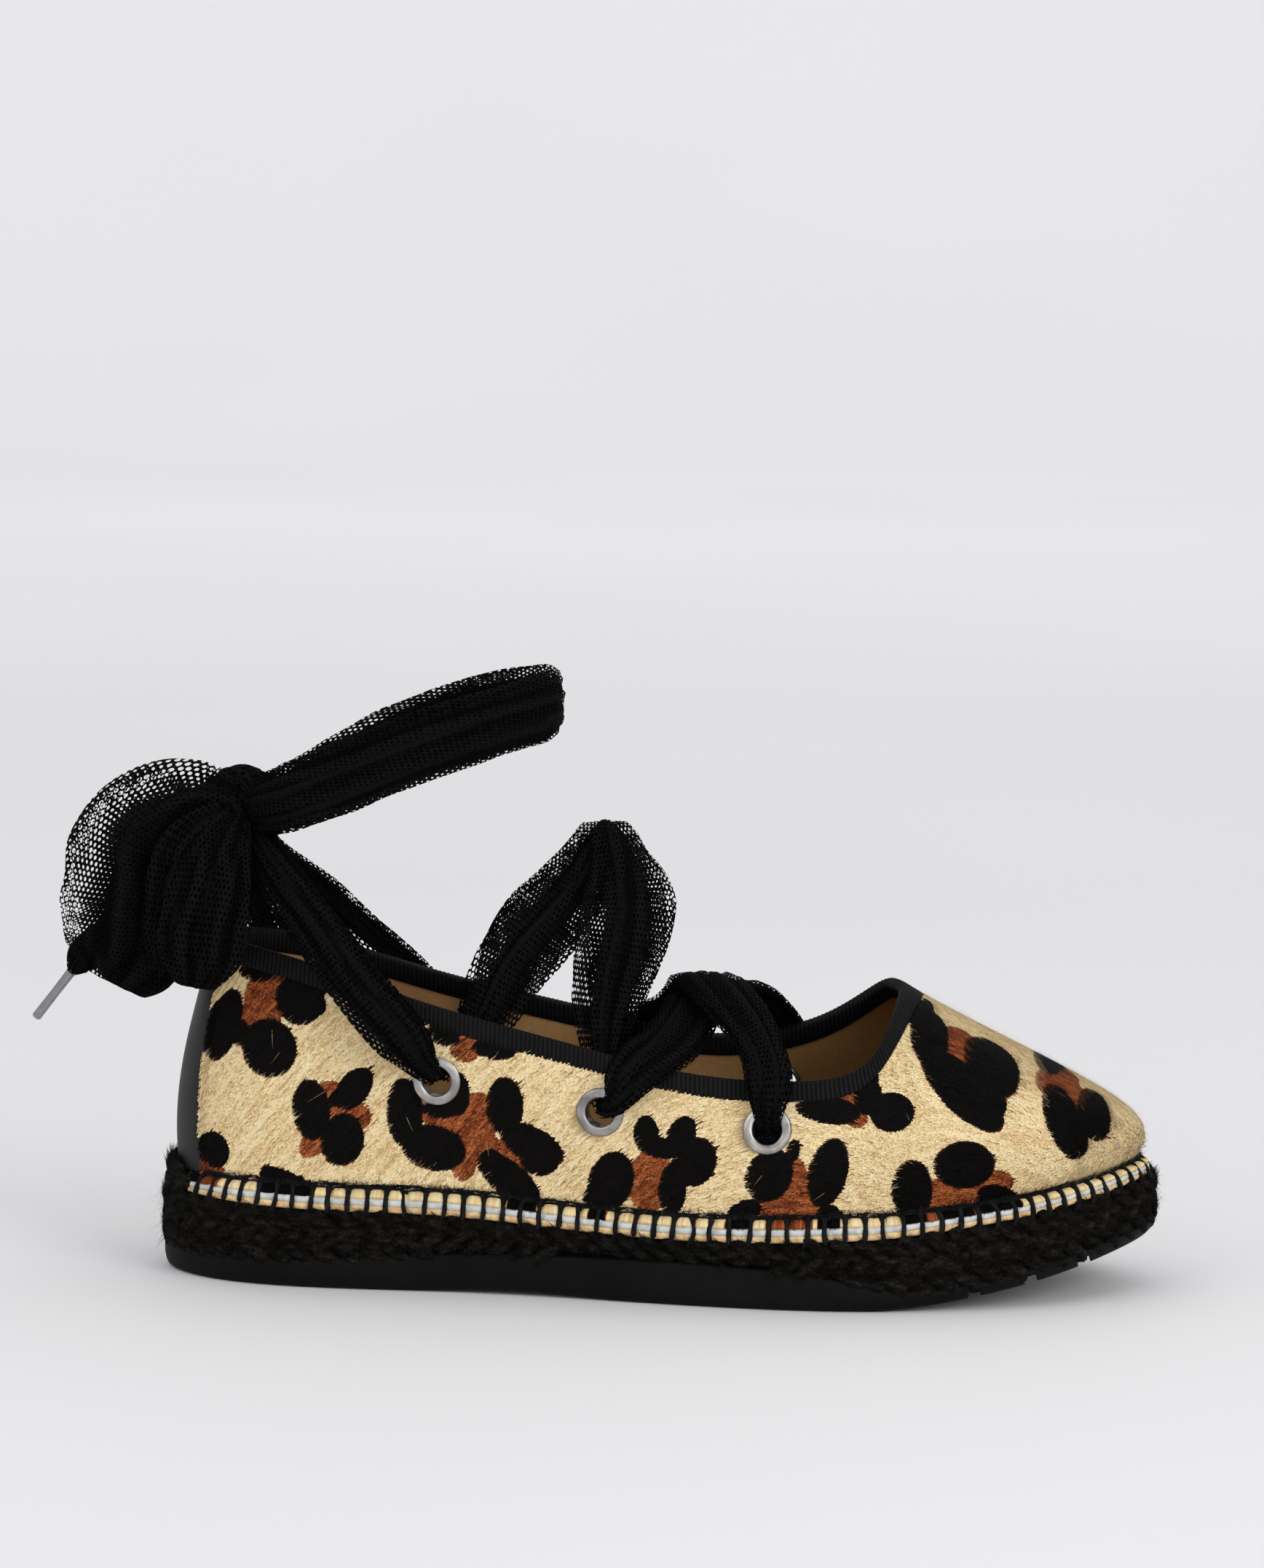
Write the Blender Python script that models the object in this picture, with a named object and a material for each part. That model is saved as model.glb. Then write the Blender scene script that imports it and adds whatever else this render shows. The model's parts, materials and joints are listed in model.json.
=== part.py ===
"""A right-foot ballet flat on a jute sole, laced through six eyelets and tied behind the ankle.

Units are metres. +X runs from heel to toe, +Y to the inner (medial) side, +Z up. The origin is on
the floor, below the middle of the shoe without its free laces.
"""

from collections import namedtuple
from math import cos, pi, sin

import bpy
import numpy as np
from mathutils import Matrix, Vector

MM = 0.001

# ---------------------------------------------------------------- driving dimensions
LENGTH = 252 * MM  # heel to toe, over the jute
BALL_WIDTH = 89 * MM  # across the joints, over the jute
HEEL_HEIGHT = 85.5 * MM  # floor to collar at the back
TOE_SPRING = 14.3 * MM  # lift of the sole's underside at the toe tip
TOE_SPRING_FROM = 0.72  # share of the length where the lift starts
ARCH_LIFT = 0.9 * MM
ARCH_FROM, ARCH_TO = 0.24, 0.50
GAP = 0.3 * MM  # between pieces that touch

WALL = 2.0 * MM  # hair-on leather and its lining
SIDE_INSET = 0.8 * MM  # sole outline to the line where rubber and jute meet
RIM_INSET = 2.5 * MM  # sole outline to the upper's cut edge
CREASE_INSET = 5.5 * MM  # sole outline to the foot of the upper's wall
CREASE_RISE = 5.2 * MM  # jute to the chain stitch above the cut edge
INSOLE_THICK = 2.0 * MM
INSOLE_INSET = CREASE_INSET + WALL + 0.7 * MM
COUNTER_THICK = 1.2 * MM
COUNTER_TOP, COUNTER_FOOT = 12 * MM, 17.5 * MM  # half widths of the heel strip
COUNTER_TAPER = 2  # power of the climb at which the heel strip narrows
COUNTER_GAP = 0.45 * MM

EYELET_BORE = 3.5 * MM
EYELET_BARREL = 4.0 * MM
EYELET_RIM = 6.1 * MM
EYELET_SIDES = 18
HOLE_RADIUS = EYELET_BARREL + GAP

GROOVE_DEPTH, GROOVE_WIDTH = 2.2 * MM, 3.2 * MM
GROOVES_AT = (0.822, 0.877, 0.929)  # shares of the length

STRAND_RADIUS = 3.0 * MM
END_RADIUS = 2.0 * MM
TIP_RADIUS = 1.3 * MM
TIP_LENGTH = 17.5 * MM

AROUND = 78  # columns round the shoe
UP_WALL = 9  # rows up each rib of the upper

# ---------------------------------------------------------------- the last, station by station
# Lateral and medial points of the sole's outline, and the collar point that the same rib of the
# upper climbs to. x in shares of LENGTH from the heel, y in shares of half the ball width, collar_z
# in shares of HEEL_HEIGHT. rise and swell lift and push out the foot of the rib, drop and reach
# hang its head below and outside the collar; these four are in millimetres, and so is medial_up,
# which is how much higher the collar runs on the medial side of the throat.
Station = namedtuple(
    "Station",
    "place lateral_x lateral_y medial_x medial_y collar_x collar_lateral collar_medial collar_z"
    " rise swell drop reach medial_up",
)
LAST = (
    Station("toe tip", 1.000, 0.11, 1.000, 0.11, 0.744, 0.06, 0.06, 0.869, 10, 10.5, 22, 42, 0),
    Station("toe corner", 0.960, -0.34, 0.972, 0.50, 0.742, -0.20, 0.30, 0.858, 10, 9.5, 21, 37, 0.6),
    Station("small and big toe", 0.897, -0.66, 0.915, 0.83, 0.733, -0.50, 0.57, 0.797, 11.5, 7, 18, 26, 5),
    Station("toe joints", 0.800, -0.89, 0.820, 0.98, 0.712, -0.70, 0.74, 0.703, 14, 4.5, 15, 13, 10.5),
    Station("ball", 0.690, -1.00, 0.730, 1.00, 0.660, -0.775, 0.775, 0.653, 16, 3, 12, 6, 6.5),
    Station("behind the ball", 0.570, -0.96, 0.600, 0.91, 0.550, -0.79, 0.77, 0.662, 16, 2.5, 11, 3.5, 0),
    Station("waist", 0.430, -0.82, 0.430, 0.72, 0.420, -0.71, 0.68, 0.738, 17, 2, 11, 3, 0),
    Station("quarter", 0.280, -0.715, 0.280, 0.67, 0.275, -0.60, 0.60, 0.840, 19, 2, 13, 3, 0),
    Station("heel side", 0.140, -0.665, 0.140, 0.665, 0.150, -0.49, 0.49, 0.948, 22, 2.5, 15, 3.5, 0),
    Station("heel corner", 0.045, -0.44, 0.045, 0.44, 0.080, -0.30, 0.30, 0.988, 23, 2.7, 17, 3, 0),
    Station("heel back", 0.000, 0.00, 0.000, 0.00, 0.055, 0.00, 0.00, 1.000, 24, 2.7, 18, 3, 0),
)

# How thick the sole is under the upper, and how far the rubber climbs its side, in millimetres.
SoleRow = namedtuple("SoleRow", "along thick rubber")
SOLE = (
    SoleRow(0.00, 21.3, 7.0),
    SoleRow(0.15, 19.6, 7.5),
    SoleRow(0.30, 19.0, 10.0),
    SoleRow(0.45, 16.7, 11.0),
    SoleRow(0.60, 16.3, 10.5),
    SoleRow(0.68, 17.2, 8.5),
    SoleRow(0.76, 18.0, 4.8),
    SoleRow(0.86, 17.2, 4.2),
    SoleRow(1.00, 15.0, 3.8),
)

# Eyelet centres on the side of the upper.
Eyelet = namedtuple("Eyelet", "place x z")
EYELETS = (
    Eyelet("front", 29.4 * MM, 44.4 * MM),
    Eyelet("middle", -12.2 * MM, 47.2 * MM),
    Eyelet("rear", -53.5 * MM, 53.1 * MM),
)

# Lace routes: millimetres, chosen by hand. Width and thick shape a flat ribbon's section.
Ribbon = namedtuple("Ribbon", "x y z width thick")
FRONT_CROSSING = (
    Ribbon(29.8, -41, 54.5, 11, 3.2),
    Ribbon(28, -35.5, 63, 14, 3.4),
    Ribbon(22, -24, 71, 15, 3.6),
    Ribbon(11.5, 0, 75, 15, 4.0),
    Ribbon(8, 13.5, 71.5, 14, 3.6),
    Ribbon(2.5, 28, 64.5, 11, 3.2),
    Ribbon(-5.5, 38.1, 57.5, 10, 3.2),
)
REAR_CROSSING = (
    Ribbon(-12, -26.3, 62, 11, 3.0),
    Ribbon(-11.8, -24.3, 73, 14, 3.2),
    Ribbon(-7.5, -19, 91, 18, 3.4),
    Ribbon(-8, -10, 103.5, 18, 3.6),
    Ribbon(-12.5, 0, 110.5, 16, 4.0),
    Ribbon(-19, 9, 103.5, 17, 3.6),
    Ribbon(-27, 16, 93.5, 17, 3.4),
    Ribbon(-38, 21.5, 79, 16, 3.2),
    Ribbon(-44, 23.5, 67, 12, 3.2),
)
FRONT_BAR = (
    Ribbon(29, -24, 43.5, 11, 3.2),
    Ribbon(29, 0, 42.5, 12, 3.4),
    Ribbon(29, 24, 43.5, 11, 3.2),
)
EYELET_END = (5, 2.6)  # width and thickness where a ribbon is gathered at an eyelet
FRONT_AXIS, REAR_AXIS, BAR_AXIS = 30 * MM, 8 * MM, 200 * MM  # how far below a ribbon

KNOT_AT = Vector((-106.5, -1, 116.5)) * MM
KNOT_RADII = Vector((8.5, 9, 10)) * MM
KNOT_SIDES = 14
STRAND_ROUTES = {
    "lateral": ((-60.5, -34, 67.5), (-68, -32.5, 75), (-76, -30.5, 83), (-88, -25, 96), (-97, -16.5, 105)),
    "medial": ((-61.5, 35, 65), (-70, 33, 72), (-79.5, 30.5, 80), (-92, 24.5, 93), (-100, 16, 103)),
}
RING_ROUTE = (
    (-93, -18, 122),
    (-75, -24, 129.5),
    (-60, -26, 136),
    (-45, -22, 141),
    (-34, -13, 144),
    (-27.5, 0, 145.5),
    (-34, 13, 145),
    (-45, 22, 142),
    (-60, 26, 137),
    (-77, 24, 130),
    (-93, 17, 122),
)
LARGE_LOOP = (
    Ribbon(-123, -8, 114, 27, 16),
    Ribbon(-131, -9, 107, 30, 19),
    Ribbon(-136, -9.5, 99, 28, 19),
    Ribbon(-139, -10, 91, 24, 17),
    Ribbon(-142, -10, 79, 11, 9),
)
SMALL_LOOP = (
    Ribbon(-110.5, -17, 109, 12, 9),
    Ribbon(-111.5, -26, 101, 19, 12),
    Ribbon(-111.5, -31, 92, 20, 13),
    Ribbon(-110.5, -32, 81, 13, 9),
)
LATERAL_END = ((-124, 14, 104), (-135, 14, 92), (-143.5, 9, 82.5), (-148.5, 3.5, 76.5))
LATERAL_TIP = (-160, -3, 61)
MEDIAL_END = ((-111, 17, 105), (-105, 25, 93), (-102, 29, 82), (-100, 30.5, 72))
MEDIAL_TIP = (-98, 31.5, 54)

MATERIALS = {  # red, green, blue, roughness, metallic
    "rubber": (0.020, 0.020, 0.021, 0.62, 0),
    "jute": (0.030, 0.028, 0.028, 0.90, 0),
    "lining": (0.52, 0.35, 0.20, 0.80, 0),
    "hair_on_leather": (0.72, 0.55, 0.32, 0.65, 0),
    "heel_leather": (0.022, 0.024, 0.027, 0.35, 0),
    "eyelet_metal": (0.66, 0.65, 0.64, 0.35, 1),
    "tulle": (0.012, 0.012, 0.013, 0.90, 0),
    "lace_tip": (0.05, 0.05, 0.055, 0.25, 0),
}


# ---------------------------------------------------------------- curves
def cubic(knots, values, at, period=None):
    """A smooth cubic curve through values at knots, read at the places asked for. With a period
    it closes on itself; without one its ends are straight."""
    knots, values, at = (np.asarray(v, float) for v in (knots, values, at))
    if period:
        knots = np.append(knots, knots[0] + period)
        values = np.concatenate([values, values[:1]])
        at = knots[0] + (at - knots[0]) % period
    steps = np.diff(knots)
    slopes = (np.diff(values, axis=0).T / steps).T
    count = len(knots)
    matrix = np.zeros((count, count))
    right = np.zeros((count,) + values.shape[1:])
    for i in range(1, count - 1):
        matrix[i, i - 1 : i + 2] = steps[i - 1], 2 * (steps[i - 1] + steps[i]), steps[i]
        right[i] = 6 * (slopes[i] - slopes[i - 1])
    if period:
        matrix[0, [0, 1, -2]] = 2 * (steps[0] + steps[-1]), steps[0], steps[-1]
        right[0] = 6 * (slopes[0] - slopes[-1])
        matrix[-1, [0, -1]] = 1, -1
    else:
        matrix[0, 0] = matrix[-1, -1] = 1
    bend = np.linalg.solve(matrix, right)
    place = np.clip(np.searchsorted(knots, at, side="right") - 1, 0, count - 2)
    step = steps[place]
    near, far = knots[place + 1] - at, at - knots[place]

    def times(numbers, rows):
        return (rows.T * numbers).T

    return (
        times(near**3 / (6 * step), bend[place])
        + times(far**3 / (6 * step), bend[place + 1])
        + times(near / step, values[place])
        - times(near * step / 6, bend[place])
        + times(far / step, values[place + 1])
        - times(far * step / 6, bend[place + 1])
    )


def through(points, spacing):
    """Points about one spacing apart on a smooth curve through the given ones."""
    points = np.asarray([tuple(p) for p in points], float)
    chords = np.linalg.norm(np.diff(points[:, :3], axis=0), axis=1)
    knots = np.concatenate([[0], np.cumsum(chords)])
    count = max(3, int(round(knots[-1] / spacing)) + 1)
    return cubic(knots, points, np.linspace(0, knots[-1], count))


def last_columns():
    """One row for each rib round the shoe, from the toe tip along the lateral side to the heel and
    back along the medial side: outline x and y, collar x, y and z, rise, swell, drop and reach."""

    def row(s, lateral):
        x, y = (s.lateral_x, s.lateral_y) if lateral else (s.medial_x, s.medial_y)
        side = s.collar_lateral if lateral else s.collar_medial
        lift = 0 if lateral else s.medial_up * MM
        return (
            (x - 0.5) * LENGTH,
            y * BALL_WIDTH / 2,
            (s.collar_x - 0.5) * LENGTH,
            side * BALL_WIDTH / 2,
            s.collar_z * HEEL_HEIGHT + lift,
            s.rise * MM,
            s.swell * MM,
            s.drop * MM,
            s.reach * MM,
        )

    return np.array([row(s, True) for s in LAST] + [row(s, False) for s in LAST[-2:0:-1]])


COLUMNS = last_columns()
CHORDS = np.linalg.norm(np.roll(COLUMNS[:, :2], -1, axis=0) - COLUMNS[:, :2], axis=1)
KNOTS = np.concatenate([[0], np.cumsum(CHORDS)[:-1]])
ROUND = CHORDS.sum()  # length of the way round the outline
HEEL_BACK = KNOTS[len(LAST) - 1]
SMALL = 0.1 * MM


def outline(u, inset=0):
    """Points of the sole's outline, moved inwards by inset, and its outward directions."""
    at = cubic(KNOTS, COLUMNS[:, :2], u, ROUND)
    ahead = cubic(KNOTS, COLUMNS[:, :2], u + SMALL, ROUND) - cubic(KNOTS, COLUMNS[:, :2], u - SMALL, ROUND)
    ahead /= np.linalg.norm(ahead, axis=1)[:, None]
    out = np.stack([-ahead[:, 1], ahead[:, 0]], axis=1)  # the loop runs clockwise seen from above
    return at - out * inset, out


def sole_height(x, row="thick"):
    """Height above the floor of the jute's top, the rubber's top or, with row None, the underside."""
    along = np.asarray(x) / LENGTH + 0.5
    spring = np.clip((along - TOE_SPRING_FROM) / (1 - TOE_SPRING_FROM), 0, 1.05)
    arch = np.clip((along - ARCH_FROM) / (ARCH_TO - ARCH_FROM), 0, 1)
    under = TOE_SPRING * spring**1.5 + ARCH_LIFT * np.sin(pi * arch) ** 2
    if row is None:
        return under
    flat = TOE_SPRING * spring**1.5
    return flat + cubic([s.along for s in SOLE], [getattr(s, row) * MM for s in SOLE], np.clip(along, 0, 1))


def upper_surface(u, t):
    """Outer face of the upper: u runs round the outline, t from the chain stitch (0) to the collar (1)."""
    u, t = np.broadcast_arrays(np.asarray(u, float), np.asarray(t, float))
    shape = u.shape
    u, t = u.ravel(), t.ravel()
    crease, out = outline(u, CREASE_INSET)
    columns = cubic(KNOTS, COLUMNS, u, ROUND)
    collar = columns[:, 2:5]
    rise, swell, drop, reach = columns[:, 5:].T
    out = np.column_stack([out, np.zeros(len(u))])
    up = np.array([0, 0, 1.0])
    foot = np.column_stack([crease, sole_height(crease[:, 0]) + GAP + CREASE_RISE])
    lower = foot + up * rise[:, None] + out * swell[:, None]
    upper = collar - up * drop[:, None] + out * reach[:, None]
    t = t[:, None]
    points = (1 - t) ** 3 * foot + 3 * (1 - t) ** 2 * t * lower + 3 * (1 - t) * t**2 * upper + t**3 * collar
    return points.reshape(shape + (3,))


def upper_normal(u, t):
    step = 0.01
    along = upper_surface(u + SMALL, t) - upper_surface(u - SMALL, t)
    climb = upper_surface(u, np.minimum(t + step, 1)) - upper_surface(u, np.maximum(t - step, 0))
    normal = np.cross(climb, along)
    return normal / np.linalg.norm(normal, axis=-1)[..., None]


def on_upper(x, z, side):
    """Where the upper's outer face has this x and z on one side (-1 lateral, +1 medial)."""
    half = ROUND / 2
    u = np.linspace(0.1, 0.9, 60) * half + (half if side > 0 else 0)
    u, t = (a.ravel() for a in np.meshgrid(u, np.linspace(0.05, 0.95, 30)))
    near = upper_surface(u, t)
    best = np.argmin((near[:, 0] - x) ** 2 + (near[:, 2] - z) ** 2)
    u, t = u[best], t[best]
    for _ in range(8):
        here = upper_surface(u, t)
        by_u = (upper_surface(u + SMALL, t) - here) / SMALL
        by_t = (upper_surface(u, t + 0.001) - here) / 0.001
        slopes = np.array([[by_u[0], by_t[0]], [by_u[2], by_t[2]]])
        change = np.linalg.solve(slopes, [x - here[0], z - here[2]])
        u, t = u + change[0], t + change[1]
    return Vector(upper_surface(u, t)), Vector(upper_normal(u, t))


# ---------------------------------------------------------------- making objects
def clear_scene():
    for thing in list(bpy.data.objects):
        bpy.data.objects.remove(thing, do_unlink=True)


def material(name):
    if name in bpy.data.materials:
        return bpy.data.materials[name]
    red, green, blue, roughness, metallic = MATERIALS[name]
    made = bpy.data.materials.new(name)
    made.use_nodes = True
    shader = made.node_tree.nodes["Principled BSDF"]
    shader.inputs["Base Color"].default_value = (red, green, blue, 1)
    shader.inputs["Roughness"].default_value = roughness
    shader.inputs["Metallic"].default_value = metallic
    return made


def add(name, data, finish, parent):
    thing = bpy.data.objects.new(name, data)
    bpy.context.scene.collection.objects.link(thing)
    thing.parent = parent
    if finish:
        data.materials.clear()
        data.materials.append(material(finish))
    return thing


def mesh_from(name, points, faces):
    mesh = bpy.data.meshes.new(name)
    mesh.from_pydata([tuple(p) for p in points], [], faces)
    mesh.validate()
    mesh.shade_smooth()
    mesh.set_sharp_from_angle(angle=pi / 5)
    return mesh


def rings_to_mesh(name, rings, closed=False, caps=None):
    """Joins rings of equal count, each seen anticlockwise from beyond the last one. closed joins the
    last ring to the first; caps "across" fills both ends in strips from side to side, "point" round
    a middle point."""
    count = len(rings[0])
    points = [tuple(p) for ring in rings for p in ring]
    faces = []
    for r in range(len(rings) if closed else len(rings) - 1):
        low, high = r * count, (r + 1) % len(rings) * count
        for i in range(count):
            j = (i + 1) % count
            faces.append((low + i, low + j, high + j, high + i))
    if caps == "across":
        top = (len(rings) - 1) * count
        for i in range(count // 2):
            a, b, c, d = i, i + 1, (count - i - 1) % count, (count - i) % count
            for corners in ((a, b, c), (a, c, d)):  # one diagonal at both ends keeps facing caps parallel
                if len(set(corners)) == 3:
                    faces.append(corners[::-1])
                    faces.append(tuple(top + v for v in corners))
    if caps == "point":
        for first, turn in ((0, -1), ((len(rings) - 1) * count, 1)):
            points.append(tuple(np.mean(points[first : first + count], axis=0)))
            for i in range(count):
                edge = (first + i, first + (i + 1) % count)[::turn]
                faces.append(edge + (len(points) - 1,))
    return mesh_from(name, points, faces)


def boolean(thing, other, operation):
    cut = thing.modifiers.new(operation.lower(), "BOOLEAN")
    cut.operation = operation
    cut.object = other
    cut.solver = "EXACT"


def hide_helper(helper):
    helper.hide_render = True
    helper.display_type = "WIRE"


# ---------------------------------------------------------------- sole
def columns_round():
    return np.arange(AROUND) * ROUND / AROUND


def sole_ring(inset, height):
    """One ring of the sole. height takes the x of its points and gives their z."""
    flat, _ = outline(columns_round(), inset)
    return np.column_stack([flat, height(flat[:, 0])])[::-1]  # anticlockwise from above


def outsole(shoe):
    def side(share):
        return lambda x: sole_height(x, None) + share * (sole_height(x, "rubber") - sole_height(x, None))

    rings = [
        sole_ring(3.4 * MM, lambda x: sole_height(x, None)),
        sole_ring(1.7 * MM, lambda x: sole_height(x, None) + 0.5 * MM),
        sole_ring(0.8 * MM, lambda x: sole_height(x, None) + 1.8 * MM),
        sole_ring(0.5 * MM, side(0.7)),
        sole_ring(SIDE_INSET, side(1)),
    ]
    made = add("outsole", rings_to_mesh("outsole", rings, caps="across"), "rubber", shoe)
    for number, along in enumerate(GROOVES_AT):
        x = (along - 0.5) * LENGTH
        run = 1 * MM
        climb = float(sole_height(x + run, None) - sole_height(x - run, None)) / (2 * run)
        tilt = Matrix.Rotation(-np.arctan(climb), 4, "Y")
        half = Vector((GROOVE_WIDTH / 2, BALL_WIDTH, GROOVE_DEPTH))
        corners = [
            Vector((sx * half.x, sy * half.y, sz * half.z))
            for sz in (-1, 1)
            for sx, sy in ((-1, -1), (1, -1), (1, 1), (-1, 1))
        ]
        block = rings_to_mesh("groove", [corners[:4], corners[4:]], caps="across")
        cutter = add(f"groove_cutter_{number}", block, None, shoe)
        cutter.matrix_basis = Matrix.Translation((x, 0, float(sole_height(x, None)))) @ tilt
        hide_helper(cutter)
        boolean(made, cutter, "DIFFERENCE")
    return made


def midsole(shoe):
    def level(share, drop=0):
        def height(x):
            low = sole_height(x, "rubber") + GAP
            return low + share * (sole_height(x) - drop - low)

        return height

    rings = [
        sole_ring(SIDE_INSET, level(0)),
        sole_ring(0.1 * MM, level(0.3)),
        sole_ring(0, level(0.6)),
        sole_ring(0.7 * MM, level(1, 0.9 * MM)),
        sole_ring(1.9 * MM, level(1)),
    ]
    return add("midsole", rings_to_mesh("midsole", rings, caps="across"), "jute", shoe)


def insole(shoe):
    def level(lift):
        return lambda x: sole_height(x) + GAP + lift

    rings = [sole_ring(INSOLE_INSET, level(0)), sole_ring(INSOLE_INSET, level(INSOLE_THICK))]
    return add("insole", rings_to_mesh("insole", rings, caps="across"), "lining", shoe)


# ---------------------------------------------------------------- upper
def eyelet_places():
    return {
        (side, e.place): on_upper(e.x, e.z, -1 if side == "lateral" else 1)
        for side in ("lateral", "medial")
        for e in EYELETS
    }


def upper(shoe, places):
    """One wall of even thickness: flared rim, outer face up to the collar, inner face down again."""
    u = columns_round()

    def level(inset, lift):
        flat, _ = outline(u, inset)
        return np.column_stack([flat, sole_height(flat[:, 0]) + GAP + lift])

    crease_bend = CREASE_INSET - 0.9 * MM
    rings = [
        level(CREASE_INSET + WALL, 0),
        level(RIM_INSET, 0),
        level(RIM_INSET, WALL),
        level(crease_bend, WALL + 1 * MM),
    ]
    climb = np.linspace(0, 1, UP_WALL + 1)
    rings += [upper_surface(u, t) for t in climb]
    rings += [upper_surface(u, t) - upper_normal(u, t) * WALL for t in climb[::-1]]
    rings = [ring[::-1] for ring in rings]
    made = add("upper", rings_to_mesh("upper", rings, closed=True), "hair_on_leather", shoe)
    for number, (centre, normal) in enumerate(places.values()):
        turn = normal.to_track_quat("Z", "Y").to_matrix().to_4x4()
        ends = [
            [Vector((HOLE_RADIUS * cos(a), HOLE_RADIUS * sin(a), z)) for a in eyelet_angles()]
            for z in (-3 * WALL, 2 * WALL)
        ]
        cutter = add(f"hole_cutter_{number}", rings_to_mesh("hole", ends, caps="point"), None, shoe)
        cutter.matrix_basis = Matrix.Translation(centre) @ turn
        hide_helper(cutter)
        boolean(made, cutter, "DIFFERENCE")
    return made


def heel_counter(shoe):
    """A leather strip up the back, between two larger forms of the upper's own surface."""
    rows = np.linspace(0.02, 0.985, 9)
    inside, outside = [], []
    for t in rows:
        half = COUNTER_FOOT + (COUNTER_TOP - COUNTER_FOOT) * t**COUNTER_TAPER
        u = HEEL_BACK + np.linspace(-half, half, 9)
        at, normal = upper_surface(u, t), upper_normal(u, t)
        inside.append(at + normal * COUNTER_GAP)
        outside.append(at + normal * (COUNTER_GAP + COUNTER_THICK))
    rings = [np.concatenate([o, i[::-1]])[::-1] for o, i in zip(outside, inside)]
    count, across = len(rings[0]), len(rings[0]) // 2
    mesh = rings_to_mesh("heel_counter", rings)
    top = (len(rings) - 1) * count
    faces = [tuple(p.vertices) for p in mesh.polygons]
    for i in range(across - 1):
        strip = (i, i + 1, count - i - 2, count - i - 1)
        faces.append(strip[::-1])
        faces.append(tuple(top + v for v in strip))
    mesh = mesh_from("heel_counter", [p for ring in rings for p in ring], faces)
    return add("heel_counter", mesh, "heel_leather", shoe)


# ---------------------------------------------------------------- eyelets
def eyelet_angles():
    return [2 * pi * i / EYELET_SIDES for i in range(EYELET_SIDES)]


def eyelet_mesh():
    """A domed washer outside, a barrel through the wall and a rolled lip inside; z points out."""
    lift = 0.55 * MM
    profile = (
        (EYELET_BORE, -WALL - 0.9 * MM),
        (EYELET_BARREL, -WALL - 0.9 * MM),
        (EYELET_BARREL, lift),
        (EYELET_RIM, lift),
        (EYELET_RIM - 0.4 * MM, lift + 0.55 * MM),
        (EYELET_BARREL + 0.2 * MM, lift + 0.7 * MM),
        (EYELET_BORE, lift + 0.2 * MM),
    )
    rings = [[(r * cos(a), r * sin(a), z) for a in eyelet_angles()] for r, z in profile]
    return rings_to_mesh("eyelet", rings, closed=True)


def eyelets(shoe, places):
    mesh = eyelet_mesh()
    for (side, place), (centre, normal) in places.items():
        made = add(f"eyelet_{side}_{place}", mesh, "eyelet_metal", shoe)
        turn = normal.to_track_quat("Z", "Y").to_matrix().to_4x4()
        made.matrix_basis = Matrix.Translation(centre) @ turn


# ---------------------------------------------------------------- laces
def ribbon_mesh(name, rows, axis_below, spacing=6 * MM, sides=10):
    """A flat ribbon swept through the rows. Its face looks away from the shoe's middle plane at
    axis_below under it, so that it lies flat on top and stands up at the sides."""
    scale = np.array([MM] * 5)
    path = through([np.array(r, float) * scale for r in rows], spacing)
    ahead = np.gradient(path[:, :3], axis=0)
    ahead /= np.linalg.norm(ahead, axis=1)[:, None]
    face = np.column_stack([np.zeros(len(path)), path[:, 1], np.full(len(path), axis_below)])
    across = np.cross(face, ahead)
    across /= np.linalg.norm(across, axis=1)[:, None]
    face = np.cross(ahead, across)
    rings = []
    for at, a, f, (width, thick) in zip(path[:, :3], across, face, path[:, 3:]):
        turns = [2 * pi * k / sides for k in range(sides)]
        rings.append([at + a * cos(r) * width / 2 + f * sin(r) * thick / 2 for r in turns])
    return rings_to_mesh(name, rings, caps="point")


def eyelet_end(place, outside):
    """The gathered ribbon's first point, just clear of the eyelet's washer or inner lip."""
    centre, normal = place
    width, thick = EYELET_END
    clear = 2.1 * MM if outside else -(WALL + 1.3 * MM)
    lift = thick * MM / 2 * (1 if outside else -1)
    at = (centre + normal * (clear + lift) + Vector((0, 0, 2.2 * MM))) / MM
    return Ribbon(at.x, at.y, at.z, width, thick)


def mirrored(rows):
    return tuple(r._replace(y=-r.y) for r in rows)


def crossing(name, shoe, rows, start, end, places, outside, axis_below):
    """Two ribbons that cross over the shoe, one from each side, joined where they meet."""
    other = {"lateral": "medial", "medial": "lateral"}
    strands = []
    for side in ("lateral", "medial"):
        middle = rows if side == "lateral" else mirrored(rows)
        first = eyelet_end(places[(side, start)], outside)
        final = eyelet_end(places[(other[side], end)], outside)
        strands.append(ribbon_mesh(f"{name}_{side}", (first, *middle, final), axis_below))
    made = add(name, strands[0], "tulle", shoe)
    helper = add(f"{name}_second", strands[1], None, shoe)
    hide_helper(helper)
    boolean(made, helper, "UNION")


def tube(name, points, radius, shoe, finish="tulle"):
    """A cord's plain solid: a round tube through the points, which are in metres."""
    path = through(points, 5 * radius)
    curve = bpy.data.curves.new(name, "CURVE")
    curve.dimensions = "3D"
    curve.bevel_depth = radius
    curve.bevel_resolution = 2
    curve.use_fill_caps = True
    spline = curve.splines.new("POLY")
    spline.points.add(len(path) - 1)
    for point, at in zip(spline.points, path):
        point.co = (*at, 1)
    return add(name, curve, finish, shoe)


def by_knot(towards):
    """A point just clear of the knot, on the way to the given point, which is in millimetres."""
    direction = (Vector(towards[:3]) * MM - KNOT_AT).normalized()
    reach = 1 / Vector([d / r for d, r in zip(direction, KNOT_RADII)]).length
    return KNOT_AT + direction * (reach + 2 * GAP)


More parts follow.
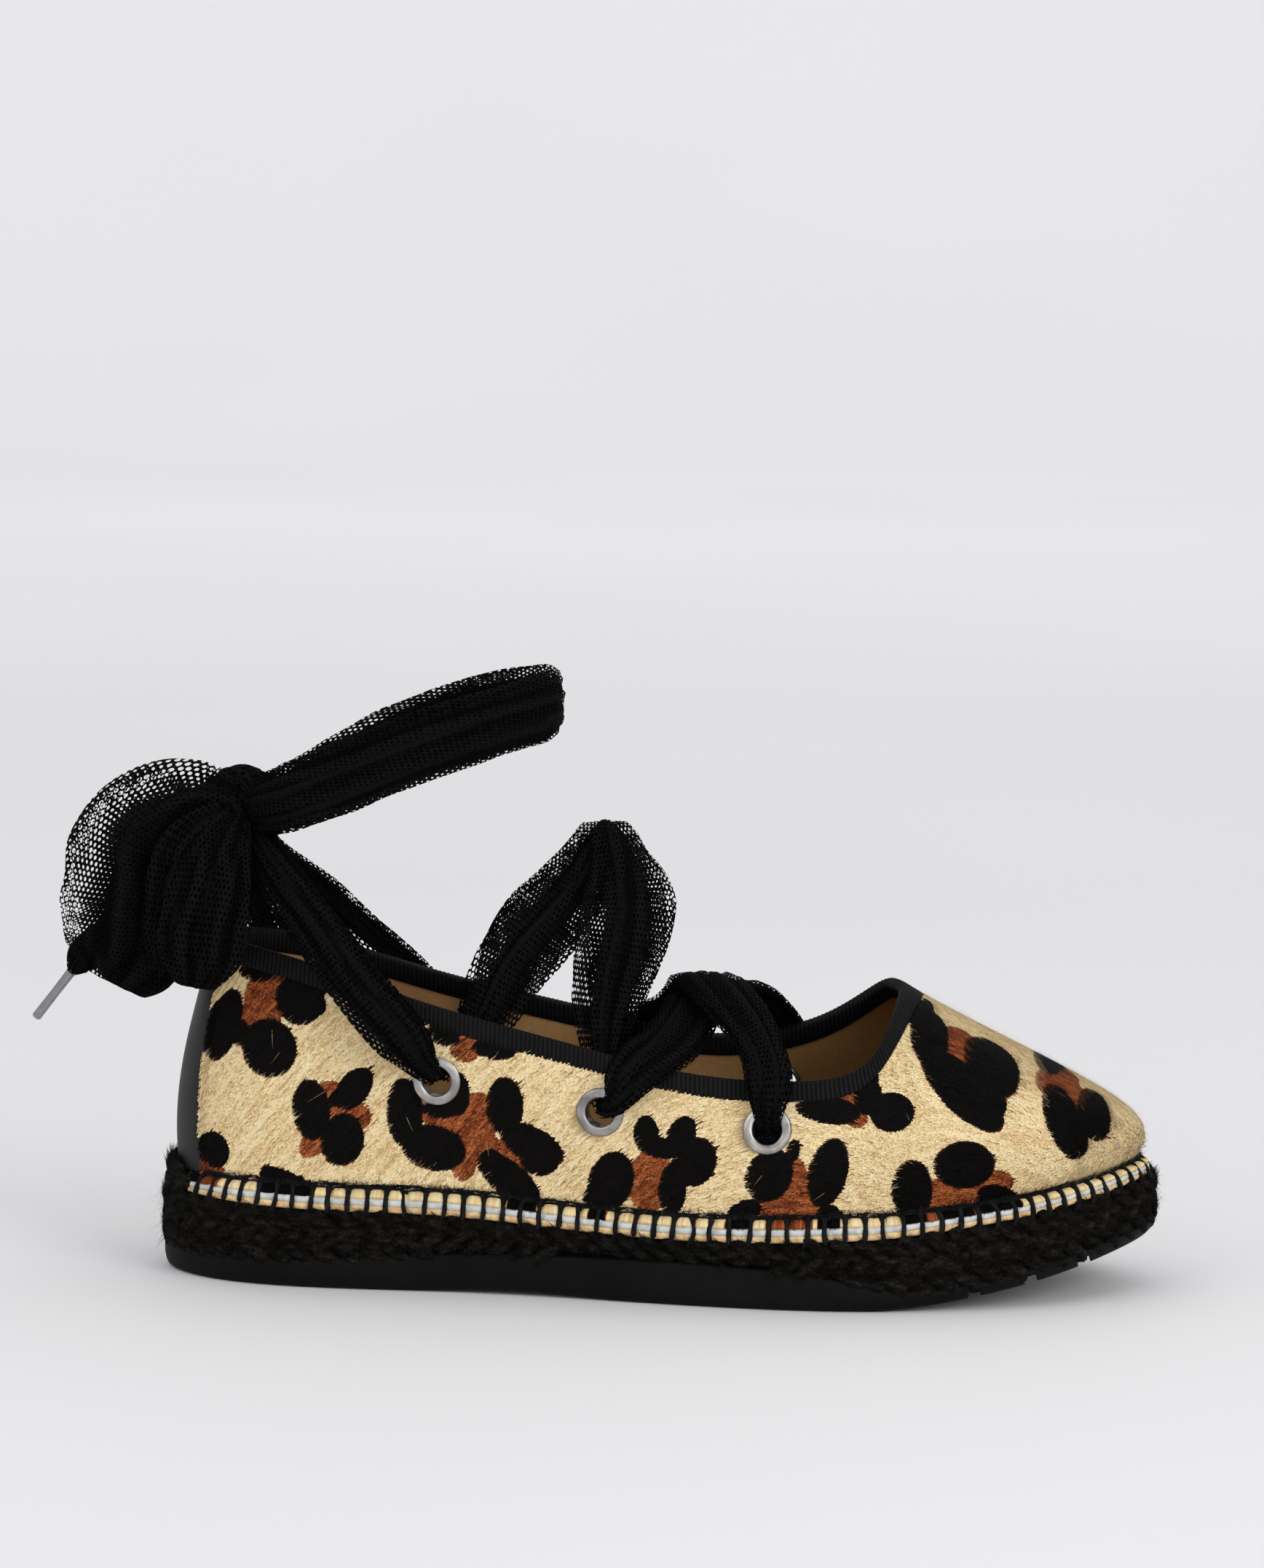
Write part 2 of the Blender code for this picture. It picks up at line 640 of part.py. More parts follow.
def knot(shoe):
    turns = [2 * pi * k / KNOT_SIDES for k in range(KNOT_SIDES)]
    rings = [
        [KNOT_AT + KNOT_RADII * Vector((sin(tilt) * cos(a), sin(tilt) * sin(a), -cos(tilt))) for a in turns]
        for tilt in np.linspace(0, pi, 9)[1:-1]
    ]
    add("lace_knot", rings_to_mesh("lace_knot", rings, caps="point"), "tulle", shoe)


def metres(points):
    return [Vector(p) * MM for p in points]


def laces(shoe, places):
    crossing("lace_cross_front", shoe, FRONT_CROSSING, "front", "middle", places, True, FRONT_AXIS)
    crossing("lace_cross_rear", shoe, REAR_CROSSING, "middle", "rear", places, False, REAR_AXIS)
    bar = (
        eyelet_end(places[("lateral", "front")], False),
        *FRONT_BAR,
        eyelet_end(places[("medial", "front")], False),
    )
    add("lace_bar", ribbon_mesh("lace_bar", bar, BAR_AXIS), "tulle", shoe)
    knot(shoe)
    for side, route in STRAND_ROUTES.items():
        centre, normal = places[(side, "rear")]
        start = centre + normal * (STRAND_RADIUS + 2.1 * MM) + Vector((0, 0, 2.2 * MM))
        tube(f"lace_strand_{side}", [start, *metres(route), by_knot(route[-1])], STRAND_RADIUS, shoe)
    ring = [by_knot(RING_ROUTE[0]), *metres(RING_ROUTE), by_knot(RING_ROUTE[-1])]
    tube("lace_ankle_loop", ring, STRAND_RADIUS, shoe)
    for name, rows in (("lace_bow_large", LARGE_LOOP), ("lace_bow_small", SMALL_LOOP)):
        root = by_knot(rows[0]) / MM
        first = Ribbon(root.x, root.y, root.z, 6, 5)
        add(name, ribbon_mesh(name, (first, *rows), 0, 5 * MM, 12), "tulle", shoe)
    for side, route, tip in (("lateral", LATERAL_END, LATERAL_TIP), ("medial", MEDIAL_END, MEDIAL_TIP)):
        start = by_knot(route[0])
        route = metres(route)
        tube(f"lace_end_{side}", [start, *route], END_RADIUS, shoe)
        ahead = (Vector(tip) * MM - route[-1]).normalized()
        start = route[-1] + ahead * 0.8 * MM
        tube(f"lace_tip_{side}", [start, start + ahead * TIP_LENGTH], TIP_RADIUS, shoe, "lace_tip")


def main():
    clear_scene()
    shoe = bpy.data.objects.new("shoe", None)
    bpy.context.scene.collection.objects.link(shoe)
    places = eyelet_places()
    outsole(shoe)
    midsole(shoe)
    insole(shoe)
    upper(shoe, places)
    heel_counter(shoe)
    eyelets(shoe, places)
    laces(shoe, places)


main()
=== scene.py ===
# %% [markdown]
# # A ballet flat of spotted hair-on leather, on a jute sole
# The shoe is put together as a shoemaker would do it: a rubber outsole, a
# braided jute sole, a leather upper with its binding and stitched edge, six
# eyelets, and a gathered net lace that crosses the foot and ties behind the
# ankle. All sizes are metres, and every piece stands where the CAD model is.

# %% Load the frame
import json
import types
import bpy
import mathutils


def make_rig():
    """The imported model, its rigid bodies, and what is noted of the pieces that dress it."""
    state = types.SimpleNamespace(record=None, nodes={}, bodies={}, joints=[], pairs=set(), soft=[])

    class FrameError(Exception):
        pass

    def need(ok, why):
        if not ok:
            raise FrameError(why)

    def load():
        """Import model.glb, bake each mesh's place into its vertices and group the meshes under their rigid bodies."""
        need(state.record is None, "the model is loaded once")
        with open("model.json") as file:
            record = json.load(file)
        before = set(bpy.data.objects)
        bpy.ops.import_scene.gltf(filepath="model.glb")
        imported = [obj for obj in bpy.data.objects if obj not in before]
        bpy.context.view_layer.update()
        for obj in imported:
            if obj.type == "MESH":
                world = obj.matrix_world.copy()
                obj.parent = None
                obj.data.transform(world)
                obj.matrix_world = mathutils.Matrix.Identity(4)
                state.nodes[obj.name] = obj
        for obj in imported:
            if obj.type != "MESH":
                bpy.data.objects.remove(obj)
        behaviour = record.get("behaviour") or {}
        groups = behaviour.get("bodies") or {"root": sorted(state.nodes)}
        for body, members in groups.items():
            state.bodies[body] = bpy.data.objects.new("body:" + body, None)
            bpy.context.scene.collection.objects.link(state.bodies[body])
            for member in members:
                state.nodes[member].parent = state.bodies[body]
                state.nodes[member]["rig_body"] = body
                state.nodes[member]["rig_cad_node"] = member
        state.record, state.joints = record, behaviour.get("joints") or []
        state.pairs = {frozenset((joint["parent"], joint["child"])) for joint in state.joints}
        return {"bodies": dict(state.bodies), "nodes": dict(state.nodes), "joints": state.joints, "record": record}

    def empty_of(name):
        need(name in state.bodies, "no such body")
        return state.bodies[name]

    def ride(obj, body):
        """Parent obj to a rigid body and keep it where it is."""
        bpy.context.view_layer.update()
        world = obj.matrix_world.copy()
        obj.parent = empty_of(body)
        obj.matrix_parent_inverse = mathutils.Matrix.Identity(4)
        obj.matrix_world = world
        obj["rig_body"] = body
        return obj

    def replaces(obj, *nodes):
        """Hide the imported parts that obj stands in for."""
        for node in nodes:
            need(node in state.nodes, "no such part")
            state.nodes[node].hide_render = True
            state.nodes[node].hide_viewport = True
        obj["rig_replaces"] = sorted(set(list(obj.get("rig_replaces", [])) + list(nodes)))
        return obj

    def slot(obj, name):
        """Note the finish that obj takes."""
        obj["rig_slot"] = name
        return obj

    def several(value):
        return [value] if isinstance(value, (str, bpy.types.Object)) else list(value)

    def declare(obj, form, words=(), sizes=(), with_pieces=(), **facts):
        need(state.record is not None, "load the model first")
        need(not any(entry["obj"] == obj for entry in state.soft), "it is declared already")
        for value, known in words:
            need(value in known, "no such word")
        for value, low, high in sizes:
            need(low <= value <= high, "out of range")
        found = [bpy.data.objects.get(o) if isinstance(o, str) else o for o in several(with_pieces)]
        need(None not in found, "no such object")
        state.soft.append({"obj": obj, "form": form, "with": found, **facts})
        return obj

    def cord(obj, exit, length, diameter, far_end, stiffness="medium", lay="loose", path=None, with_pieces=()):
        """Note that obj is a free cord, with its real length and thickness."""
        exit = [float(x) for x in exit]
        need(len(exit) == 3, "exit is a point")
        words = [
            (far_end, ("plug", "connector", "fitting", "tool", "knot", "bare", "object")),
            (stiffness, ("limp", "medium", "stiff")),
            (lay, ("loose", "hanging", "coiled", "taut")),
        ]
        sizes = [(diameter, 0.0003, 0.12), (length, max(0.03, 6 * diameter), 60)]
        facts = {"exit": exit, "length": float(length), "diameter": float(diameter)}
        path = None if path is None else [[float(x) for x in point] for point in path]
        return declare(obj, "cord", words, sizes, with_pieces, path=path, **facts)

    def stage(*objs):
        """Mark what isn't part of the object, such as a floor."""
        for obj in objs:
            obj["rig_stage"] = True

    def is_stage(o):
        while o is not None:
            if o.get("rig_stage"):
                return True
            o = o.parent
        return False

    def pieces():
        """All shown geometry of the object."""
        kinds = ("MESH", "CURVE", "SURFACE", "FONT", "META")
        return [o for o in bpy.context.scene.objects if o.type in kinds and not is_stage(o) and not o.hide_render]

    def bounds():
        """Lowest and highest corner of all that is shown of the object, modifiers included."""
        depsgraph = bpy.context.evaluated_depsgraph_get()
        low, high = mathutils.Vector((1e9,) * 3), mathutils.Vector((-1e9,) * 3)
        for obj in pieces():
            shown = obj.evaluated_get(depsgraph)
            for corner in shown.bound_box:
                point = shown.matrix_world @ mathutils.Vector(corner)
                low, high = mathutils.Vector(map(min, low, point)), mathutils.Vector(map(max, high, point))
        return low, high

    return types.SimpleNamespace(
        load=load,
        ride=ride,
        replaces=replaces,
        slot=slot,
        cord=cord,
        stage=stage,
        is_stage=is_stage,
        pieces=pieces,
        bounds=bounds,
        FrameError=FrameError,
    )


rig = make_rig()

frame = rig.load()

import json
from math import pi

import bpy
import numpy as np
from mathutils import Matrix, Vector

MM = 0.001
cad_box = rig.bounds()
print("CAD box in mm:", [round((high - low) / MM, 1) for low, high in zip(*cad_box)])

# %% [markdown]
# ## The camera
# A long lens a little above the floor looks at the shoe's outer side. The
# camera's axes are worked out first and then put in a matrix, because a small
# roll is easier to add to the axes than to three angles.

# %% The camera
AZIMUTH, ELEVATION, ROLL = np.radians([4.0, 6.5, 0.7])
DISTANCE = 1.6
TARGET = Vector((-0.0078, 0, 0.1252))
LENS_MM = 145.97

level = np.cos(ELEVATION)
back = Vector((np.sin(AZIMUTH) * level, -np.cos(AZIMUTH) * level, np.sin(ELEVATION)))
right = Vector((0, 0, 1)).cross(back).normalized()
up = back.cross(right)
right, up = right * np.cos(ROLL) + up * np.sin(ROLL), up * np.cos(ROLL) - right * np.sin(ROLL)
camera = bpy.data.objects.new("camera", bpy.data.cameras.new("camera"))
bpy.context.scene.collection.objects.link(camera)
facing_shoe = Matrix((right, up, back)).transposed().to_4x4()
camera.matrix_world = Matrix.Translation(TARGET + back * DISTANCE) @ facing_shoe
camera.data.lens = LENS_MM
camera.data.clip_start, camera.data.clip_end = 0.05, 20
camera.data.dof.use_dof = False
bpy.context.scene.camera = camera
print("camera stands", round(camera.location.length, 2), "m from the shoe")

# %% [markdown]
# ## Writing materials as sums
# A shader is mostly arithmetic on values that vary over a surface. One small
# class wraps a node's socket, so that 1 - mask or a * b adds the Math node by
# itself, and its method node() adds any other node: the settings first, such
# as a ramp's stops, and then what goes into each socket.

# %% A socket that does sums
class Wire:
    def __init__(self, tree, socket=None):
        self.tree, self.socket = tree, socket

    def node(self, kind, settings=None, sockets=None, out=0):
        made = self.tree.nodes.new("ShaderNode" + kind)
        for name, value in (settings or {}).items():
            if name == "stops":
                ramp = made.color_ramp.elements
                while len(ramp) < len(value):
                    ramp.new(0.5)
                for stop, (at, color) in zip(ramp, value):
                    stop.position, stop.color = at, color
            else:
                setattr(made, name, value)
        for name, value in (sockets or {}).items():
            if isinstance(value, Wire):
                self.tree.links.new(value.socket, made.inputs[name])
            else:
                made.inputs[name].default_value = value
        return Wire(self.tree, made.outputs[out])

    def output(self, number):
        """Another output of the same node."""
        return Wire(self.tree, self.socket.node.outputs[number])

    def math(self, operation, first, second=0.0):
        return self.node("Math", {"operation": operation}, {0: first, 1: second})

    def __add__(self, other):
        return self.math("ADD", self, other)

    def __sub__(self, other):
        return self.math("SUBTRACT", self, other)

    def __rsub__(self, other):
        return self.math("SUBTRACT", other, self)

    def __mul__(self, other):
        return self.math("MULTIPLY", self, other)

    __radd__, __rmul__ = __add__, __mul__

    def cosine(self):
        return self.math("COSINE", self)

    def ramp(self, *stops):
        return self.node("ValToRGB", {"stops": stops}, {"Fac": self})

    def between(self, low, high):
        """0 below low, 1 above high, and an even climb from one to the other."""
        return self.node("MapRange", None, {"Value": self, "From Min": low, "From Max": high})

    def tinted(self, colour):
        """This colour multiplied by another."""
        settings = {"data_type": "RGBA", "blend_type": "MULTIPLY"}
        return self.node("Mix", settings, {0: 1.0, 6: self, 7: colour}, out=2)


def srgb(red, green, blue):
    """A colour given as 0 to 255 on a screen, as the linear numbers that a shader takes."""
    shares = np.array([red, green, blue]) / 255
    linear = np.where(shares <= 0.04045, shares / 12.92, ((shares + 0.055) / 1.055) ** 2.4)
    return (*(float(v) for v in linear), 1.0)


def material(name, paint, **constants):
    """A material: constants go straight on the shader, and paint returns what varies."""
    made = bpy.data.materials.new(name)
    made.use_nodes = True
    tree = made.node_tree
    shader = tree.nodes["Principled BSDF"]
    for socket, value in constants.items():
        shader.inputs[socket.replace("_", " ")].default_value = value
    for socket, wire in paint(Wire(tree)).items():
        tree.links.new(wire.socket, shader.inputs[socket])
    return made


def bump(new, height, distance, strength=1.0):
    return new.node("Bump", None, {"Height": height, "Distance": distance, "Strength": strength})


def place(new, scale=(1, 1, 1)):
    """The point's own place in metres, stretched by scale."""
    here = new.node("TexCoord", out=3)
    return new.node("Mapping", None, {"Vector": here, "Scale": scale})


def noise(new, scale, detail=3.0, where=None, roughness=0.5):
    where = where or place(new)
    sockets = {"Vector": where, "Scale": scale, "Detail": detail, "Roughness": roughness}
    return new.node("TexNoise", None, sockets)


def clouded(scale, detail, low, high, stretch=(1, 1, 1), raised=None):
    """A paint of soft clouds between two stops, which may also be raised by some metres."""

    def paint(new):
        cloud = noise(new, scale, detail, place(new, stretch))
        found = {"Base Color": cloud.ramp(low, high)}
        return {**found, "Normal": bump(new, cloud, raised)} if raised else found

    return paint


print("middle grey as a shader takes it:", [round(v, 2) for v in srgb(128, 128, 128)])

# %% [markdown]
# ## Meshes from arrays
# Hair, stitches and braid are thousands of small shapes, which are quickest to
# work out as arrays of points. piece() turns points and faces into an object
# that rides on the shoe. grid() lists the faces of a net of points, which is
# what every swept or wrapped surface here is.

# %% Making a piece
def piece(name, points, faces, finish, slot, replaces=(), uv=None, uv_name="weave", values=None):
    """faces is an array of corners, or several of them. uv has a row for each point."""
    faces = faces if isinstance(faces, list) else [faces]
    corners = np.concatenate([f.ravel() for f in faces]).astype(np.int32)
    sides = np.concatenate([np.full(len(f), f.shape[1]) for f in faces])
    mesh = bpy.data.meshes.new(name)
    mesh.vertices.add(len(points))
    mesh.vertices.foreach_set("co", np.asarray(points, np.float32).ravel())
    mesh.loops.add(len(corners))
    mesh.loops.foreach_set("vertex_index", corners)
    mesh.polygons.add(len(sides))
    mesh.polygons.foreach_set("loop_start", (np.cumsum(sides) - sides).astype(np.int32))
    mesh.update(calc_edges=True)
    if uv is not None:
        layer = mesh.uv_layers.new(name=uv_name)
        layer.data.foreach_set("uv", np.asarray(uv, np.float32)[corners].ravel())
    for attribute, numbers in (values or {}).items():
        made = mesh.attributes.new(attribute, "FLOAT", "POINT")
        made.data.foreach_set("value", np.asarray(numbers, np.float32).ravel())
    mesh.validate()
    mesh.shade_smooth()
    mesh.materials.append(finish)
    thing = bpy.data.objects.new(name, mesh)
    bpy.context.scene.collection.objects.link(thing)
    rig.ride(thing, "root")
    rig.slot(thing, slot)
    if replaces:
        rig.replaces(thing, *replaces)
    return thing


def grid(rows, columns, closed_rows=False, closed_columns=False):
    """Corners of the faces between rows times columns points, in row order."""
    r = np.arange(rows if closed_rows else rows - 1)[:, None]
    c = np.arange(columns if closed_columns else columns - 1)[None, :]
    r_next, c_next = (r + 1) % rows, (c + 1) % columns
    corners = [r * columns + c, r * columns + c_next, r_next * columns + c_next, r_next * columns + c]
    return np.stack([a.ravel() for a in np.broadcast_arrays(*corners)], axis=1)


def many(faces, count, points_each):
    """The same faces for each of count shapes whose points follow one another."""
    return (faces[None] + (np.arange(count) * points_each)[:, None, None]).reshape(-1, faces.shape[1])


def unit(vectors):
    return vectors / np.maximum(np.linalg.norm(vectors, axis=-1, keepdims=True), 1e-12)


def wave(values, at, seed, knots):
    """A smooth wandering line from -1 to 1: random heights at even knots, read at the given shares."""
    heights = np.random.default_rng(seed).uniform(-1, 1, knots + 1)
    place_on = np.clip(at, 0, 1) * knots
    low = np.minimum(place_on.astype(int), knots - 1)
    part = place_on - low
    part = part * part * (3 - 2 * part)
    return values * (heights[low] * (1 - part) + heights[low + 1] * part)


print("a grid of 3 by 4 points has", len(grid(3, 4)), "faces")

# %% [markdown]
# ## The last
# A shoe is drawn over a last, the wooden foot that it is built on. Here the
# last is a table of ribs round the shoe. Each rib leaves the sole's outline,
# climbs the side and ends at the collar, and smooth cubic curves join the ribs.
# The CAD model was made from the same table, so the leather lies where it does.

# %% The last's table and its curves
LENGTH, BALL_WIDTH, HEEL_HEIGHT = 252 * MM, 89 * MM, 85.5 * MM
TOE_SPRING, TOE_SPRING_FROM = 14.3 * MM, 0.72
ARCH_LIFT, ARCH_FROM, ARCH_TO = 0.9 * MM, 0.24, 0.50
GAP = 0.3 * MM
WALL = 2.0 * MM
CREASE_INSET, CREASE_RISE = 5.5 * MM, 5.2 * MM  # where the wall meets the turned edge
UP = np.array([0, 0, 1.0])
# lateral x and y, medial x and y, collar x, lateral, medial and z, rise, swell, drop, reach, medial rise
LAST = (
    (1.000, 0.11, 1.000, 0.11, 0.744, 0.06, 0.06, 0.869, 10, 10.5, 22, 42, 0),  # toe tip
    (0.960, -0.34, 0.972, 0.50, 0.742, -0.20, 0.30, 0.858, 10, 9.5, 21, 37, 0.6),
    (0.897, -0.66, 0.915, 0.83, 0.733, -0.50, 0.57, 0.797, 11.5, 7, 18, 26, 5),
    (0.800, -0.89, 0.820, 0.98, 0.712, -0.70, 0.74, 0.703, 14, 4.5, 15, 13, 10.5),
    (0.690, -1.00, 0.730, 1.00, 0.660, -0.775, 0.775, 0.653, 16, 3, 12, 6, 6.5),  # ball
    (0.570, -0.96, 0.600, 0.91, 0.550, -0.79, 0.77, 0.662, 16, 2.5, 11, 3.5, 0),
    (0.430, -0.82, 0.430, 0.72, 0.420, -0.71, 0.68, 0.738, 17, 2, 11, 3, 0),  # waist
    (0.280, -0.715, 0.280, 0.67, 0.275, -0.60, 0.60, 0.840, 19, 2, 13, 3, 0),
    (0.140, -0.665, 0.140, 0.665, 0.150, -0.49, 0.49, 0.948, 22, 2.5, 15, 3.5, 0),
    (0.045, -0.44, 0.045, 0.44, 0.080, -0.30, 0.30, 0.988, 23, 2.7, 17, 3, 0),
    (0.000, 0.00, 0.000, 0.00, 0.055, 0.00, 0.00, 1.000, 24, 2.7, 18, 3, 0),  # heel back
)
SOLE_ALONG = (0.00, 0.15, 0.30, 0.45, 0.60, 0.68, 0.76, 0.86, 1.00)
SOLE_THICK = np.array((21.3, 19.6, 19.0, 16.7, 16.3, 17.2, 18.0, 17.2, 15.0)) * MM
SOLE_RUBBER = np.array((7.0, 7.5, 10.0, 11.0, 10.5, 8.5, 4.8, 4.2, 3.8)) * MM


def cubic(knots, values, at, period=None):
    """A smooth curve through values at knots, read at the places asked for. With a period it closes."""
    knots, values, at = (np.asarray(v, float) for v in (knots, values, at))
    if period:
        knots = np.append(knots, knots[0] + period)
        values = np.concatenate([values, values[:1]])
        at = knots[0] + (at - knots[0]) % period
    steps = np.diff(knots)
    slopes = (np.diff(values, axis=0).T / steps).T
    count = len(knots)
    matrix = np.zeros((count, count))
    answer = np.zeros((count,) + values.shape[1:])
    for i in range(1, count - 1):
        matrix[i, i - 1 : i + 2] = steps[i - 1], 2 * (steps[i - 1] + steps[i]), steps[i]
        answer[i] = 6 * (slopes[i] - slopes[i - 1])
    if period:
        matrix[0, [0, 1, -2]] = 2 * (steps[0] + steps[-1]), steps[0], steps[-1]
        answer[0] = 6 * (slopes[0] - slopes[-1])
        matrix[-1, [0, -1]] = 1, -1
    else:
        matrix[0, 0] = matrix[-1, -1] = 1
    bend = np.linalg.solve(matrix, answer)
    span = np.clip(np.searchsorted(knots, at, side="right") - 1, 0, count - 2)
    step = steps[span]
    near, far = knots[span + 1] - at, at - knots[span]

    def times(numbers, rows):
        return (rows.T * numbers).T

    return (
        times(near**3 / (6 * step), bend[span])
        + times(far**3 / (6 * step), bend[span + 1])
        + times(near / step, values[span])
        - times(near * step / 6, bend[span])
        + times(far / step, values[span + 1])
        - times(far * step / 6, bend[span + 1])
    )


def through(points, spacing):
    """Points about one spacing apart on a smooth curve through the given rows."""
    points = np.asarray([tuple(p) for p in points], float)
    chords = np.linalg.norm(np.diff(points[:, :3], axis=0), axis=1)
    knots = np.concatenate([[0], np.cumsum(chords)])
    count = max(3, int(round(knots[-1] / spacing)) + 1)
    return cubic(knots, points, np.linspace(0, knots[-1], count))


ribs = np.array(LAST)
half_width = BALL_WIDTH / 2
lateral = np.column_stack([ribs[:, 0], ribs[:, 1], ribs[:, 4], ribs[:, 5], ribs[:, 7:12]])
medial = np.column_stack([ribs[:, 2], ribs[:, 3], ribs[:, 4], ribs[:, 6], ribs[:, 7:12]])
medial[:, 4] += ribs[:, 12] * MM / HEEL_HEIGHT
COLUMNS = np.concatenate([lateral, medial[-2:0:-1]])
COLUMNS[:, [0, 2]] = (COLUMNS[:, [0, 2]] - 0.5) * LENGTH
COLUMNS[:, [1, 3]] *= half_width
COLUMNS[:, 4] *= HEEL_HEIGHT
COLUMNS[:, 5:] *= MM
CHORDS = np.linalg.norm(np.roll(COLUMNS[:, :2], -1, axis=0) - COLUMNS[:, :2], axis=1)
KNOTS = np.cumsum(CHORDS) - CHORDS
ROUND = CHORDS.sum()
HEEL_BACK = KNOTS[len(LAST) - 1]
SMALL = 0.1 * MM


def outline(u, inset=0.0):
    """Points of the sole's outline, moved inwards by inset, and its outward directions."""
    at = cubic(KNOTS, COLUMNS[:, :2], u, ROUND)
    behind, beyond = (cubic(KNOTS, COLUMNS[:, :2], u + step, ROUND) for step in (-SMALL, SMALL))
    ahead = unit(beyond - behind)
    out = np.stack([-ahead[..., 1], ahead[..., 0]], axis=-1)
    return at - out * (np.asarray(inset) * np.ones_like(u))[..., None], out


def beside(u, inset=0.0):
    """Points of the outline with their outward and onward directions, which have a height too."""
    flat, out = outline(u, inset)
    out = np.column_stack([out, np.zeros(len(u))])
    return flat, out, np.cross(out, UP)


def toe_spring(along):
    """How far the sole is lifted at a share of its length from the heel."""
    return TOE_SPRING * np.clip((along - TOE_SPRING_FROM) / (1 - TOE_SPRING_FROM), 0, 1.05) ** 1.5


def underside(x):
    """Height of the sole's underside above the floor."""
    along = np.asarray(x) / LENGTH + 0.5
    arch = np.clip((along - ARCH_FROM) / (ARCH_TO - ARCH_FROM), 0, 1)
    return toe_spring(along) + ARCH_LIFT * np.sin(pi * arch) ** 2


def sole_height(x, layer=SOLE_THICK):
    """Height above the floor of the jute's top, or of the rubber's."""
    along = np.asarray(x) / LENGTH + 0.5
    return toe_spring(along) + cubic(SOLE_ALONG, layer, np.clip(along, 0, 1))


def upper_surface(u, t):
    """The leather's outer face: u runs round the outline, t from the chain stitch (0) to the collar (1)."""
    u, t = np.broadcast_arrays(np.asarray(u, float), np.asarray(t, float))
    shape = u.shape
    u, t = u.ravel(), t.ravel()
    crease, out = outline(u, CREASE_INSET)
    columns = cubic(KNOTS, COLUMNS, u, ROUND)
    collar = columns[:, 2:5]
    rise, swell, drop, reach = columns[:, 5:].T
    out = np.column_stack([out, np.zeros(len(u))])
    foot = np.column_stack([crease, sole_height(crease[:, 0]) + GAP + CREASE_RISE])
    lower = foot + out * swell[:, None]
    lower[:, 2] += rise
    upper = collar + out * reach[:, None]
    upper[:, 2] -= drop
    t = t[:, None]
    points = (1 - t) ** 3 * foot + 3 * (1 - t) ** 2 * t * lower + 3 * (1 - t) * t**2 * upper + t**3 * collar
    return points.reshape(shape + (3,))


def upper_frame(u, t):
    """The face's outward normal and its direction round the shoe at u, t."""
    step = 0.01
    along = upper_surface(u + SMALL, t) - upper_surface(u - SMALL, t)
    climb = upper_surface(u, np.minimum(t + step, 1)) - upper_surface(u, np.maximum(t - step, 0))
    return unit(np.cross(climb, along)), unit(along)


print("round the outline:", round(ROUND / MM), "mm")

# %% [markdown]
# ## Places on the leather
# Eyelets and spots are given by how far along the shoe and how high they are,
# on the outer (lateral) or inner (medial) side. A fine net of points over the
# leather is searched for the nearest one, and up to two steps on the surface
# itself then bring it closer.

# %% Finding a place on the leather
NET_U = np.arange(0, ROUND, 1.0 * MM)
NET_T = np.linspace(0, 1, 61)
NET = upper_surface(NET_U[None, :], NET_T[:, None])


def on_upper(x, z, side):
    """The point of the outer face with this x and z, and its normal. side is -1 lateral, 1 medial."""
    half = NET_U < HEEL_BACK if side < 0 else NET_U > HEEL_BACK
    miss = (NET[:, :, 0] - x) ** 2 + (NET[:, :, 2] - z) ** 2 + np.where(half, 0, 1)[None, :]
    row, column = np.unravel_index(np.argmin(miss), miss.shape)
    u, t = NET_U[column], np.clip(NET_T[row], 0.01, 0.99)
    for _ in range(2):
        here = upper_surface(u, t)
        by_u = (upper_surface(u + SMALL, t) - here) / SMALL
        by_t = (upper_surface(u, t + 0.001) - here) / 0.001
        slopes = np.array([[by_u[0], by_t[0]], [by_u[2], by_t[2]]])
        if abs(np.linalg.det(slopes)) < 0.005:
            break
        change = np.linalg.solve(slopes, [x - here[0], z - here[2]])
        u, t = u + np.clip(change[0], -MM, MM), float(np.clip(t + change[1], 0, 1))
    return upper_surface(u, t), upper_frame(u, t)[0]


EYELETS = {"front": (29.4, 44.4), "middle": (-12.2, 47.2), "rear": (-53.5, 53.1)}
HOLES = {
    (side, name): on_upper(x * MM, z * MM, -1 if side == "lateral" else 1)
    for side in ("lateral", "medial")
    for name, (x, z) in EYELETS.items()
}
print("eyelets at y", [round(centre[1] / MM, 1) for centre, _ in HOLES.values()])

# %% [markdown]
# ## The floor and the light
# A pale floor curves up far away on every side. One large soft light hangs
# overhead, two stand in front to the left and right, a low one faces the shoe's
# side, and a wide one lights the far floor. Seen low down from the inner side,
# the floor before the low light is too bright, and it ends in an edge under that
# light. Even world light fills the shadows. Colours are shown as they are, without
# a film curve, so that black net and straw-coloured hair keep their own tones.

# %% Floor and lights
bpy.context.scene.view_settings.view_transform = "Standard"
FLOOR_RADIUS, RISE = 3.2, 1.4

bend = np.linspace(0, pi / 2, 12)
profile = [(0.0, 0.0), (0.5, 0.0), (FLOOR_RADIUS, 0.0)]
profile += [(FLOOR_RADIUS + RISE * np.sin(a), RISE * (1 - np.cos(a))) for a in bend[1:]]
turns = np.linspace(0, 2 * pi, 72, endpoint=False)
stage_points = np.array([[(r * np.cos(a), r * np.sin(a), z) for a in turns] for r, z in profile])


floor_paint = clouded(1.5, 2.0, (0.35, srgb(233, 233, 234)), (0.65, srgb(236, 236, 237)))
floor = piece(
    "floor",
    stage_points.reshape(-1, 3),
    grid(len(profile), len(turns), closed_columns=True),
    material("floor_paper", floor_paint, Roughness=0.75),
    "rubber",
)
floor.parent = None
del floor["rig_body"], floor["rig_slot"]
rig.stage(floor)


